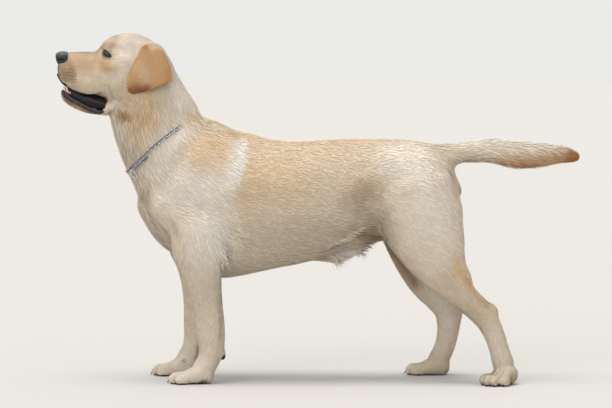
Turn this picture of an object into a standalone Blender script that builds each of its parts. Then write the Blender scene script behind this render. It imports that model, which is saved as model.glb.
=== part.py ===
"""A still, life-size Labrador retriever, standing in a show stance with its head up and its mouth a little open.

Run it with: blender --background --python part.py

Frame: metres, +Z up, the floor at Z = 0, the dog facing -X with its left side towards -Y, and the origin on the
floor under the middle of its box. Every path below runs the way the coat lies: nose to neck, neck to tail, and down
each leg. A station on a path is (x, y, z, back, front, side): its centre, then how far the body reaches from there
to its back edge (the spine, or the rear of a leg), to its front edge (the belly, or the shin) and to either side.

The body is modelled whole, from lofts and muscle bellies that a Remesh joins into one skin, and then parted by thin
cuts into the pieces that a person would name. The eyes, nose, ears, tongue and chain collar are separate pieces.
"""

import math

import bmesh
import bpy
import numpy as np
from mathutils import Matrix, Vector
from mathutils.bvhtree import BVHTree

# Driving sizes, in metres.
WITHERS_HEIGHT = 0.57
SCALE = WITHERS_HEIGHT / 0.57
GAP = 0.0003
# The sizes below are about the dog's own midplane, and the finished dog is moved by this much, over the origin.
TO_ORIGIN = (0.0018, 0.01425, 0)
LATERAL = Vector((0, 1, 0))
LEFT, RIGHT = -1, 1
SIDES = {"left": LEFT, "right": RIGHT}

EYE_CENTRE = (-0.4640, 0.0340, 0.7190)
EYE_RADIUS = 0.0125
EYE_SEGMENTS, EYE_RINGS = 14, 8
COLLAR_CENTRE = (-0.339, 0.0, 0.527)
COLLAR_TILT = math.radians(39)
COLLAR_HALF_DEPTH, COLLAR_HALF_WIDTH = 0.103, 0.0775
COLLAR_WIRE, COLLAR_SUNK = 0.0032, 0.0012
COLLAR_POINTS = 36
RING_RADIUS, RING_WIRE, RING_TURN = 0.0095, 0.0018, math.radians(-152)

# Mesh sizes of the joined body.
VOXEL = 0.0035
SMOOTH_ROUNDS, MUSCLE_ROUNDS = 14, 90
BODY_TRIANGLES = 4400
RING_POINTS = 32
STEPS = 6
CAP_RINGS = 5

TRUNK = [
    (-0.359, 0, 0.380, 0.050, 0.062, 0.060),
    (-0.334, 0, 0.393, 0.082, 0.112, 0.088),
    (-0.300, 0, 0.400, 0.125, 0.154, 0.106),
    (-0.250, 0, 0.405, 0.154, 0.178, 0.116),
    (-0.200, 0, 0.405, 0.151, 0.180, 0.120),
    (-0.150, 0, 0.405, 0.141, 0.171, 0.123),
    (-0.100, 0, 0.405, 0.127, 0.160, 0.124),
    (-0.050, 0, 0.405, 0.124, 0.150, 0.123),
    (0.000, 0, 0.407, 0.124, 0.137, 0.119),
    (0.050, 0, 0.412, 0.123, 0.123, 0.111),
    (0.100, 0, 0.420, 0.117, 0.119, 0.102),
    (0.150, 0, 0.430, 0.106, 0.120, 0.097),
    (0.200, 0, 0.435, 0.097, 0.115, 0.098),
    (0.240, 0, 0.428, 0.090, 0.092, 0.088),
    (0.262, 0, 0.408, 0.060, 0.060, 0.062),
]
NECK = [
    (-0.395, 0, 0.690, 0.070, 0.070, 0.052),
    (-0.384, 0, 0.639, 0.087, 0.086, 0.061),
    (-0.366, 0, 0.584, 0.096, 0.095, 0.068),
    (-0.341, 0, 0.526, 0.102, 0.102, 0.078),
    (-0.295, 0, 0.475, 0.125, 0.130, 0.092),
    (-0.240, 0, 0.430, 0.128, 0.130, 0.098),
]
TAIL = [
    (0.225, 0, 0.480, 0.032, 0.036, 0.030),
    (0.265, 0, 0.497, 0.027, 0.027, 0.026),
    (0.300, 0, 0.501, 0.025, 0.026, 0.025),
    (0.350, 0, 0.506, 0.026, 0.027, 0.025),
    (0.385, 0, 0.508, 0.028, 0.030, 0.026),
    (0.430, 0, 0.501, 0.031, 0.034, 0.027),
    (0.480, 0, 0.499, 0.029, 0.030, 0.025),
    (0.525, 0, 0.500, 0.024, 0.024, 0.020),
    (0.556, 0, 0.4965, 0.0195, 0.0190, 0.016),
    (0.572, 0, 0.4925, 0.0155, 0.0150, 0.012),
]
MUZZLE = [
    (-0.563, 0, 0.690, 0.036, 0.029, 0.022),
    (-0.542, 0, 0.685, 0.041, 0.040, 0.031),
    (-0.515, 0, 0.683, 0.043, 0.047, 0.035),
    (-0.490, 0, 0.682, 0.045, 0.053, 0.039),
    (-0.465, 0, 0.682, 0.050, 0.060, 0.047),
    (-0.430, 0, 0.685, 0.055, 0.060, 0.055),
]
JAW = [
    (-0.560, 0, 0.630, 0.012, 0.012, 0.015),
    (-0.545, 0, 0.617, 0.011, 0.012, 0.021),
    (-0.525, 0, 0.607, 0.011, 0.012, 0.026),
    (-0.505, 0, 0.600, 0.010, 0.011, 0.030),
    (-0.485, 0, 0.597, 0.010, 0.011, 0.034),
    (-0.465, 0, 0.599, 0.016, 0.014, 0.041),
    (-0.435, 0, 0.612, 0.030, 0.022, 0.048),
    (-0.405, 0, 0.628, 0.040, 0.034, 0.052),
]
FORELEG = [
    (-0.262, 0.098, 0.340, 0.052, 0.058, 0.036),
    (-0.262, 0.101, 0.292, 0.057, 0.060, 0.036),
    (-0.256, 0.100, 0.252, 0.046, 0.048, 0.033),
    (-0.249, 0.098, 0.205, 0.038, 0.038, 0.029),
    (-0.241, 0.096, 0.155, 0.034, 0.034, 0.0255),
    (-0.237, 0.094, 0.115, 0.033, 0.033, 0.0265),
    (-0.234, 0.092, 0.085, 0.029, 0.030, 0.0250),
    (-0.238, 0.091, 0.058, 0.025, 0.026, 0.0235),
    (-0.250, 0.090, 0.034, 0.024, 0.026, 0.0260),
]
# How far the right foreleg is set ahead of the left one, at each of those stations.
FORELEG_STEP = [-0.014, -0.015, -0.016, -0.020, -0.027, -0.032, -0.038, -0.043, -0.044]
HINDLEG_LEFT = [
    (0.205, 0.070, 0.425, 0.088, 0.078, 0.048),
    (0.222, 0.084, 0.352, 0.092, 0.088, 0.046),
    (0.247, 0.092, 0.288, 0.078, 0.066, 0.040),
    (0.285, 0.097, 0.230, 0.047, 0.047, 0.033),
    (0.318, 0.100, 0.192, 0.031, 0.032, 0.027),
    (0.348, 0.102, 0.164, 0.028, 0.029, 0.0245),
    (0.370, 0.103, 0.139, 0.024, 0.027, 0.0250),
    (0.385, 0.104, 0.111, 0.0215, 0.0255, 0.0225),
    (0.396, 0.105, 0.077, 0.0205, 0.0240, 0.0210),
    (0.404, 0.106, 0.047, 0.024, 0.0255, 0.0235),
]
HINDLEG_RIGHT = [
    (0.200, 0.070, 0.425, 0.088, 0.078, 0.048),
    (0.210, 0.084, 0.347, 0.092, 0.080, 0.046),
    (0.225, 0.092, 0.277, 0.078, 0.064, 0.040),
    (0.252, 0.097, 0.216, 0.050, 0.053, 0.033),
    (0.276, 0.100, 0.177, 0.038, 0.041, 0.027),
    (0.292, 0.101, 0.150, 0.033, 0.036, 0.0250),
    (0.293, 0.102, 0.118, 0.027, 0.028, 0.0240),
    (0.289, 0.103, 0.088, 0.0245, 0.024, 0.0220),
    (0.281, 0.104, 0.058, 0.024, 0.023, 0.0220),
    (0.270, 0.104, 0.036, 0.023, 0.024, 0.0240),
]
# A foot, from its heel pad forward: (ahead, z, sole, top, side). Its path runs forward, so its sole is its back edge.
FOOT = [
    (-0.008, 0.022, 0.024, 0.020, 0.024),
    (0.012, 0.021, 0.023, 0.021, 0.031),
    (0.032, 0.018, 0.020, 0.018, 0.033),
    (0.048, 0.014, 0.016, 0.014, 0.028),
]
# Each foot's heel, and the way that it points from there, in degrees outwards from straight ahead.
FEET = {
    ("front", "left"): ((-0.252, -0.091), 4),
    ("front", "right"): ((-0.296, 0.091), 4),
    ("hind", "left"): ((0.411, -0.102), 56),
    ("hind", "right"): ((0.272, 0.105), 6),
}
TOES = [(0.044, -0.0250), (0.057, -0.0085), (0.057, 0.0085), (0.044, 0.0250)]
TOE_SIZE = (0.0200, 0.0145, 0.0100)

# Muscle bellies and other round forms: (centre, the way its length runs, half length, half depth, half side).
# The centre's y is for one side, and each is made on both sides unless y is 0.
BELLIES = {
    "cranium": ((-0.405, 0, 0.675), (0.766, 0, -0.643), 0.100, 0.085, 0.063),
    "occiput": ((-0.366, 0, 0.692), (1, 0, -0.8), 0.044, 0.036, 0.034),
    "brow": ((-0.461, 0.024, 0.738), (1, 0.5, 0.7), 0.020, 0.014, 0.015),
    "cheekbone": ((-0.440, 0.040, 0.695), (1, 0.35, 0), 0.052, 0.032, 0.021),
    "cheek": ((-0.412, 0.044, 0.655), (1, 0, 0.5), 0.050, 0.042, 0.024),
    "ear_root": ((-0.364, 0.042, 0.718), (1, 0, -0.4), 0.034, 0.028, 0.025),
    "upper_lip": ((-0.520, 0.024, 0.656), (1, 0.25, -0.35), 0.046, 0.022, 0.014),
    "chin": ((-0.556, 0.0, 0.627), (1, 0, -0.4), 0.016, 0.010, 0.014),
    "shoulder_blade": ((-0.264, 0.066, 0.452), (-0.55, 0.16, -0.84), 0.104, 0.060, 0.044),
    "shoulder_point": ((-0.334, 0.058, 0.390), (0.5, 0.3, -0.8), 0.062, 0.046, 0.036),
    "upper_arm": ((-0.268, 0.086, 0.340), (0.72, 0.1, -0.7), 0.090, 0.056, 0.040),
    "elbow": ((-0.222, 0.104, 0.290), (0, 0, 1), 0.034, 0.020, 0.020),
    "breastbone": ((-0.349, 0, 0.346), (0.53, 0, -0.85), 0.076, 0.031, 0.044),
    "loin": ((0.090, 0.045, 0.470), (1, 0, 0), 0.120, 0.045, 0.042),
    "haunch": ((0.180, 0.052, 0.452), (1, 0, -0.3), 0.085, 0.062, 0.048),
    "thigh": ((0.215, 0.078, 0.375), (0.25, 0.1, -1), 0.115, 0.088, 0.046),
    "buttock": ((0.270, 0.052, 0.378), (0.10, 0, -1), 0.080, 0.044, 0.052),
    "sheath": ((0.030, 0, 0.284), (1, 0, 0.12), 0.070, 0.020, 0.020),
}
# These differ between the sides, because the hind legs stand apart.
LEG_BELLIES = {
    "hock_left": ((0.379, -0.103, 0.163), (0.5, 0, -0.8), 0.020, 0.0125, 0.0125),
    "hock_right": ((0.320, 0.101, 0.163), (0.2, 0, -1), 0.020, 0.0125, 0.0125),
    "calf_left": ((0.296, -0.098, 0.245), (0.6, 0, -0.8), 0.055, 0.030, 0.028),
    "calf_right": ((0.268, 0.098, 0.235), (0.4, 0, -0.9), 0.055, 0.034, 0.028),
    "wrist_pad_left": ((-0.210, -0.093, 0.066), (0, 0, 1), 0.012, 0.009, 0.010),
    "wrist_pad_right": ((-0.250, 0.093, 0.066), (0, 0, 1), 0.012, 0.009, 0.010),
}


# Where the lips part, seen from the side, from the corner of the mouth forward along the lower lip and back along the
# upper one. The mouth is open right across.
MOUTH = [
    (-0.469, 0.601), (-0.477, 0.5975), (-0.491, 0.600), (-0.508, 0.608), (-0.527, 0.617), (-0.547, 0.627),
    (-0.562, 0.640), (-0.600, 0.652), (-0.600, 0.668), (-0.572, 0.662), (-0.556, 0.650), (-0.547, 0.643),
    (-0.527, 0.636), (-0.509, 0.631), (-0.490, 0.625), (-0.476, 0.617), (-0.468, 0.609),
]
# The parts of the body that are parted off it, each by its outline seen from the side.
HEAD_ZONE = [(-0.700, 0.4200), (-0.190, 0.7746), (-0.190, 0.900), (-0.700, 0.900)]
NECK_ZONE = [(-0.600, 0.2717), (-0.100, 0.6776), (-0.100, 0.900), (-0.600, 0.900)]
TAIL_ZONE = [(0.246, 0.600), (0.271, 0.4635), (0.700, 0.420), (0.700, 0.600)]
JAW_ZONE = [
    (-0.700, 0.500), (-0.4675, 0.500), (-0.4675, 0.605), (-0.500, 0.616), (-0.530, 0.626), (-0.560, 0.648),
    (-0.600, 0.660), (-0.700, 0.660),
]
FORELEG_ZONE = [(-0.450, -0.050), (-0.130, -0.050), (-0.197, 0.230), (-0.190, 0.318), (-0.330, 0.330), (-0.450, 0.250)]
HINDLEG_ZONE = [
    (0.050, -0.050), (0.520, -0.050), (0.420, 0.330), (0.330, 0.398), (0.160, 0.402), (0.116, 0.345), (0.117, 0.290),
]
# A leg's zone starts this far out from the middle of the dog at the floor, and further out higher up.
ZONE_INSIDE, ZONE_SPREAD = 0.020, 0.100

TONGUE = [
    (-0.468, 0, 0.603, 0.016, 0.010, 0.026),
    (-0.500, 0, 0.608, 0.014, 0.012, 0.023),
    (-0.530, 0, 0.620, 0.009, 0.012, 0.018),
    (-0.544, 0, 0.628, 0.005, 0.010, 0.012),
]
NOSE = [
    (-0.5750, 0, 0.7120, 0.0125, 0.0115, 0.0165),
    (-0.5660, 0, 0.7130, 0.0145, 0.0140, 0.0190),
    (-0.5560, 0, 0.7140, 0.0125, 0.0130, 0.0175),
]
# Lower front teeth: (forward, out, up, half height).
TEETH = [(-0.5640, 0.0028, 0.6370, 0.0060), (-0.5620, 0.0080, 0.6370, 0.0060), (-0.5560, 0.0130, 0.6375, 0.0085)]
# An ear, from its root to its tip: its front and rear edges seen from the side, and how far out it hangs.
EAR = [
    (-0.386, 0.744, -0.341, 0.728, 0.045),
    (-0.392, 0.731, -0.333, 0.715, 0.058),
    (-0.399, 0.714, -0.327, 0.701, 0.066),
    (-0.409, 0.694, -0.324, 0.685, 0.070),
    (-0.417, 0.673, -0.325, 0.671, 0.071),
    (-0.422, 0.652, -0.327, 0.665, 0.070),
    (-0.421, 0.637, -0.330, 0.661, 0.069),
]
EAR_THICKNESS, EAR_BOW = 0.0055, 0.007

CREAM, GOLD, GINGER = (0.78, 0.66, 0.50), (0.66, 0.48, 0.29), (0.52, 0.31, 0.15)
PIECES = {
    "head": (GOLD, 0.85, 0), "lower_jaw": (CREAM, 0.85, 0), "neck": (CREAM, 0.85, 0), "trunk": (GOLD, 0.85, 0),
    "tail": (GINGER, 0.85, 0), "foreleg_left": (CREAM, 0.85, 0), "foreleg_right": (CREAM, 0.85, 0),
    "hindleg_left": (CREAM, 0.85, 0), "hindleg_right": (CREAM, 0.85, 0), "ear_left": (GINGER, 0.85, 0),
    "ear_right": (GINGER, 0.85, 0), "nose": ((0.03, 0.028, 0.03), 0.4, 0), "tongue": ((0.45, 0.16, 0.15), 0.35, 0),
    "eye_left": ((0.02, 0.012, 0.008), 0.05, 0), "eye_right": ((0.02, 0.012, 0.008), 0.05, 0),
    "collar_chain": ((0.62, 0.62, 0.63), 0.25, 1), "collar_ring": ((0.62, 0.62, 0.63), 0.25, 1),
}


def clear_scene():
    for obj in list(bpy.data.objects):
        bpy.data.objects.remove(obj)


def new_collection(name):
    collection = bpy.data.collections.new(name)
    bpy.context.scene.collection.children.link(collection)
    return collection


def paint(name, colour, roughness, metallic=0.0):
    """A Principled material of one colour."""
    material = bpy.data.materials.new(name)
    material.use_nodes = True
    shader = material.node_tree.nodes["Principled BSDF"]
    shader.inputs["Base Color"].default_value = (*colour, 1)
    shader.inputs["Roughness"].default_value = roughness
    shader.inputs["Metallic"].default_value = metallic
    return material


def spline(rows, steps):
    """Rows in between the given ones, on a Catmull-Rom curve through them."""
    rows = np.asarray(rows, float)
    padded = np.vstack([2 * rows[0] - rows[1], rows, 2 * rows[-1] - rows[-2]])
    t = np.linspace(0, 1, steps, endpoint=False)[:, None]
    pieces = []
    for a, b, c, d in zip(padded, padded[1:], padded[2:], padded[3:]):
        curve = 2 * b + (c - a) * t + (2 * a - 5 * b + 4 * c - d) * t**2 + (3 * b - a - 3 * c + d) * t**3
        pieces.append(curve / 2)
    return np.vstack([*pieces, rows[-1:]])


def section(row, tangent, shrink, square, points):
    """One ring of a loft: an oval across the path, with its own reach to the back, the front and the sides."""
    back_way = np.cross(tangent, LATERAL)
    back_way /= np.linalg.norm(back_way)
    side_way = np.cross(back_way, tangent)
    angle = np.linspace(0, 2 * math.pi, points, endpoint=False)
    across = np.sign(np.cos(angle)) * np.abs(np.cos(angle)) ** (2 / square)
    along = np.sign(np.sin(angle)) * np.abs(np.sin(angle)) ** (2 / square)
    depth = np.where(along > 0, row[3], row[4])
    return row[:3] + shrink * (np.outer(along * depth, back_way) + np.outer(across * row[5], side_way))


def loft(bm, stations, square=2.0, caps=(None, None), points=RING_POINTS, steps=STEPS, cap_rings=CAP_RINGS):
    """A closed tube through the stations' ovals, with a rounded cap past each end, as long as `caps` says."""
    rows = spline(np.asarray(stations, float) * SCALE, steps)
    tangents = np.gradient(rows[:, :3], axis=0)
    tangents /= np.linalg.norm(tangents, axis=1)[:, None]
    rings = [section(row, tangent, 1.0, square, points) for row, tangent in zip(rows, tangents)]
    for end, sign, given in ((0, -1, caps[0]), (-1, 1, caps[1])):
        length = given * SCALE if given else rows[end, 3:].min() * 0.8
        for step in range(1, cap_rings):
            turn = math.pi / 2 * step / cap_rings
            cap = rows[end].copy()
            cap[:3] += sign * length * math.sin(turn) * tangents[end]
            ring = section(cap, tangents[end], math.cos(turn), square, points)
            rings.insert(0 if end == 0 else len(rings), ring)
    verts = [[bm.verts.new(point) for point in ring] for ring in rings]
    for lower, upper in zip(verts, verts[1:]):
        for i in range(points):
            j = (i + 1) % points
            bm.faces.new((lower[i], lower[j], upper[j], upper[i]))
    bm.faces.new(verts[0][::-1])
    bm.faces.new(verts[-1])


def belly(bm, centre, way, half_length, half_depth, half_side):
    """A ball stretched along its way, its side axis kept as level across the dog as it can be."""
    length_way = Vector(way).normalized()
    depth_way = length_way.cross(LATERAL).normalized()
    side_way = depth_way.cross(length_way)
    turn = Matrix((length_way, depth_way, side_way)).transposed().to_4x4()
    size = Matrix.Diagonal((half_length, half_depth, half_side, 1 / SCALE)) * SCALE
    matrix = Matrix.Translation(Vector(centre) * SCALE) @ turn @ size
    bmesh.ops.create_uvsphere(bm, u_segments=24, v_segments=16, radius=1, matrix=matrix)


def mirrored(stations, side):
    """The same stations on one side of the dog."""
    return [(x, side * y, *rest) for x, y, *rest in stations]


def legs():
    """The stations of the four legs, by name."""
    right_fore = [(row[0] + step, *row[1:]) for row, step in zip(FORELEG, FORELEG_STEP)]
    return {
        "front_left": mirrored(FORELEG, LEFT),
        "front_right": mirrored(right_fore, RIGHT),
        "hind_left": mirrored(HINDLEG_LEFT, LEFT),
        "hind_right": mirrored(HINDLEG_RIGHT, RIGHT),
    }


def add_foot(bm, heel, turn, side):
    """A foot with four arched toes, from its heel the way it points."""
    angle = math.radians(turn)
    ahead = Vector((-math.cos(angle), side * math.sin(angle), 0))
    across = Vector((-ahead.y, ahead.x, 0))
    start = Vector((*heel, 0))
    loft(bm, [(*(start + ahead * run + Vector((0, 0, z))), *rest) for run, z, *rest in FOOT], square=2.3)
    for run, offset in TOES:
        centre = start + ahead * (run + 0.002) + across * offset + Vector((0, 0, 0.0125))
        way = ahead + across * offset * 6 + Vector((0, 0, -0.28))
        belly(bm, centre, way, *TOE_SIZE)


def object_from(bm, name, collection, material=None):
    """A smooth-shaded mesh object whose faces point out."""
    bmesh.ops.recalc_face_normals(bm, faces=bm.faces)
    mesh = bpy.data.meshes.new(name)
    bm.to_mesh(mesh)
    bm.free()
    mesh.shade_smooth()
    obj = bpy.data.objects.new(name, mesh)
    collection.objects.link(obj)
    if material:
        mesh.materials.append(material)
    return obj


def applied(obj):
    """The same object with its modifiers made part of its mesh."""
    bpy.context.view_layer.update()
    graph = bpy.context.evaluated_depsgraph_get()
    mesh = bpy.data.meshes.new_from_object(obj.evaluated_get(graph))
    obj.modifiers.clear()
    obj.data = mesh
    return obj


def whole_body(collection):
    """Trunk, neck, head, tail and legs joined into one smooth skin of about BODY_TRIANGLES, flat under the feet."""
    bm = bmesh.new()
    loft(bm, TRUNK, square=2.15)
    loft(bm, NECK)
    loft(bm, TAIL, caps=(None, 0.0100))
    loft(bm, MUZZLE, square=2.5, caps=(0.014, None))
    loft(bm, JAW, square=2.3)
    for stations in legs().values():
        loft(bm, stations)
    for (_, side), (heel, turn) in FEET.items():
        add_foot(bm, heel, turn, SIDES[side])
    for (x, y, z), (way_x, way_y, way_z), *sizes in BELLIES.values():
        for side in (LEFT, RIGHT) if y else (RIGHT,):
            belly(bm, (x, side * y, z), (way_x, side * way_y, way_z), *sizes)
    for form in LEG_BELLIES.values():
        belly(bm, *form)
    body = object_from(bm, "body", collection)
    remesh = body.modifiers.new("join", "REMESH")
    remesh.mode = "VOXEL"
    remesh.voxel_size = VOXEL
    applied(body)
    muscled = body.vertex_groups.new(name="muscled")
    for vert in body.data.vertices:
        x, _, z = vert.co / SCALE
        muscled.add([vert.index], min(max((z - 0.27) / 0.08, 0), 1) * min(max((x + 0.40) / 0.06, 0), 1), "REPLACE")
    for name, rounds, group in (("blend", SMOOTH_ROUNDS, ""), ("blend_muscles", MUSCLE_ROUNDS, muscled.name)):
        smooth = body.modifiers.new(name, "SMOOTH")
        smooth.factor = 0.5
        smooth.iterations = rounds
        smooth.vertex_group = group
    applied(body)
    body.data.calc_loop_triangles()
    lighten = body.modifiers.new("lighten", "DECIMATE")
    lighten.ratio = BODY_TRIANGLES / len(body.data.loop_triangles)
    return applied(body)


def swell(obj, distance):
    """Moves the whole surface out along its normals."""
    displace = obj.modifiers.new("swell", "DISPLACE")
    displace.strength = distance * SCALE
    displace.mid_level = 0
    return applied(obj)


def boolean(obj, cutter, operation="DIFFERENCE"):
    """Cuts the object with the cutter, or joins or keeps what they share, for good."""
    modifier = obj.modifiers.new(cutter.name, "BOOLEAN")
    modifier.object = cutter
    modifier.operation = operation
    modifier.solver = "EXACT"
    return applied(obj)


def duplicate(obj, name, collection):
    twin = bpy.data.objects.new(name, obj.data.copy())
    collection.objects.link(twin)
    return twin


def grown_outline(points, grow):
    """The same outline, every side of it moved out by `grow`."""
    points = np.asarray(points, float)
    ahead = np.roll(points, -1, axis=0) - points
    turning = np.sign(np.cross(points, np.roll(points, -1, axis=0)).sum())
    normal = turning * np.stack([ahead[:, 1], -ahead[:, 0]], 1) / np.linalg.norm(ahead, axis=1)[:, None]
    before = np.roll(normal, 1, axis=0)
    bisector = normal + before
    return points + grow * 2 * bisector / (bisector**2).sum(1)[:, None]


def prism(name, outline, inside, outside, collection, grow=0.0):
    """A zone: its outline seen from the side, run from `inside` to `outside` across the dog.

    `inside` and `outside` give how far out each end is at the floor, and how much further out per metre of height.
    """
    points = grown_outline(outline, grow) * SCALE
    bm = bmesh.new()
    ends = []
    for (start, spread), outwards in ((inside, -1), (outside, 1)):
        far = [(start + outwards * grow) * SCALE + spread * z for _, z in points]
        ends.append([bm.verts.new((x, y, z)) for (x, z), y in zip(points, far)])
    for i in range(len(points)):
        j = (i + 1) % len(points)
        bm.faces.new((ends[0][i], ends[0][j], ends[1][j], ends[1][i]))
    bm.faces.new(ends[0][::-1])
    bm.faces.new(ends[1])
    return object_from(bm, name, collection)


def ball(name, centre, radius, collection, material=None):
    bm = bmesh.new()
    matrix = Matrix.Translation(Vector(centre) * SCALE)
    bmesh.ops.create_uvsphere(bm, u_segments=EYE_SEGMENTS, v_segments=EYE_RINGS, radius=radius * SCALE, matrix=matrix)
    return object_from(bm, name, collection, material)


def keep_largest(obj):
    """Drops any crumb that a cut leaves beside the piece."""
    bm = bmesh.new()
    bm.from_mesh(obj.data)
    bm.verts.ensure_lookup_table()
    unseen, parts = set(bm.verts), []
    while unseen:
        part, edge = set(), [next(iter(unseen))]
        while edge:
            vert = edge.pop()
            if vert in part:
                continue
            part.add(vert)
            edge.extend(link.other_vert(vert) for link in vert.link_edges)
        unseen -= part
        parts.append(part)
    parts.sort(key=len)
    for part in parts[:-1]:
        bmesh.ops.delete(bm, geom=list(part), context="VERTS")
    bm.to_mesh(obj.data)
    bm.free()
    return obj


def part_off(body, name, outline, inside, outside, dog, cutters):
    """Takes the zone's piece out of the body and returns it, with a gap of GAP left between the two."""
    zone = prism(name + "_zone", outline, inside, outside, cutters)
    clearance = prism(name + "_clearance", outline, inside, outside, cutters, grow=GAP)
    piece = keep_largest(boolean(duplicate(body, name, dog), zone, "INTERSECT"))
    keep_largest(boolean(body, clearance))
    return piece


def add_ear(name, side, collection, material):
    """One ear: a soft sheet, hanging from its root and bowed out across its width."""
    rows = np.array(EAR) * SCALE
    angle = np.linspace(0, 2 * math.pi, 16, endpoint=False)
    across, over = np.cos(angle), np.sin(angle)
    bm = bmesh.new()
    rings = []
    for i, (front_x, front_z, rear_x, rear_z, out) in enumerate(rows):
        thick = EAR_THICKNESS / 2 * (0.45 if i in (0, len(rows) - 1) else 1) * SCALE
        x = (front_x + rear_x) / 2 + across * (rear_x - front_x) / 2
        z = (front_z + rear_z) / 2 + across * (rear_z - front_z) / 2
        y = out + EAR_BOW * SCALE * (1 - across**2) + thick * over
        rings.append([bm.verts.new(point) for point in zip(x, side * y, z)])
    for upper, lower in zip(rings, rings[1:]):
        for i in range(len(angle)):
            j = (i + 1) % len(angle)
            bm.faces.new((upper[i], upper[j], lower[j], lower[i]))
    bm.faces.new(rings[0][::-1])
    bm.faces.new(rings[-1])
    return object_from(bm, name, collection, material)


def ring_of(bm, path, radius, segments):
    """A closed round wire along a closed path of points."""
    rings = []
    for before, here, after in zip(np.roll(path, 1, axis=0), path, np.roll(path, -1, axis=0)):
        along = Vector(after - before).normalized()
        level = along.cross(Vector((0, 0, 1))).normalized()
        other = along.cross(level)
        ring = []
        for i in range(segments):
            angle = 2 * math.pi * i / segments
            ring.append(bm.verts.new(Vector(here) + radius * (math.cos(angle) * level + math.sin(angle) * other)))
        rings.append(ring)
    for first, second in zip(rings, rings[1:] + rings[:1]):
        for i in range(segments):
            j = (i + 1) % segments
            bm.faces.new((first[i], first[j], second[j], second[i]))


def add_collar(surface, collection, material):
    """The chain, as a wire sunk in the coat: its path is the neck's surface, cast out to from the middle."""
    middle = Vector(COLLAR_CENTRE) * SCALE
    uphill = Vector((math.cos(COLLAR_TILT), 0, math.sin(COLLAR_TILT)))
    path = []
    for i in range(COLLAR_POINTS):
        angle = 2 * math.pi * i / COLLAR_POINTS
        way = math.cos(angle) * uphill + math.sin(angle) * LATERAL
        place, _, _, _ = surface.ray_cast(middle, way)
        path.append(place - way * COLLAR_SUNK * SCALE)
    bm = bmesh.new()
    ring_of(bm, np.array(path), COLLAR_WIRE * SCALE, 6)
    return object_from(bm, "collar_chain", collection, material)


def add_ring(chain_surface, collection, material):
    """The chain's end ring, lying on the left of the neck just below the chain."""
    uphill = Vector((math.cos(COLLAR_TILT), 0, math.sin(COLLAR_TILT)))
    chestward = uphill.cross(LATERAL) * -1
    out = math.cos(RING_TURN) * uphill + math.sin(RING_TURN) * LATERAL
    step = (RING_RADIUS + RING_WIRE + COLLAR_WIRE + 6 * GAP) * SCALE
    middle = Vector(COLLAR_CENTRE) * SCALE + chestward * step
    place, normal, _, _ = chain_surface.ray_cast(middle, out)
    centre = place + normal * (RING_WIRE + 3 * GAP) * SCALE
    first = normal.cross(LATERAL.cross(normal).cross(normal)).normalized()
    second = normal.cross(first)
    angles = np.linspace(0, 2 * math.pi, 16, endpoint=False)
    path = [centre + RING_RADIUS * SCALE * (math.cos(a) * first + math.sin(a) * second) for a in angles]
    bm = bmesh.new()
    ring_of(bm, np.array(path), RING_WIRE * SCALE, 6)
    return object_from(bm, "collar_ring", collection, material)


def add_teeth(bm):
    for forward, out, up, half in TEETH:
        for side in (LEFT, RIGHT):
            matrix = Matrix.Translation(Vector((forward, side * out, up)) * SCALE)
            matrix = matrix @ Matrix.Diagonal((0.0028, 0.0025, half, 1 / SCALE)) * SCALE
            bmesh.ops.create_uvsphere(bm, u_segments=6, v_segments=5, radius=1, matrix=matrix)


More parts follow.
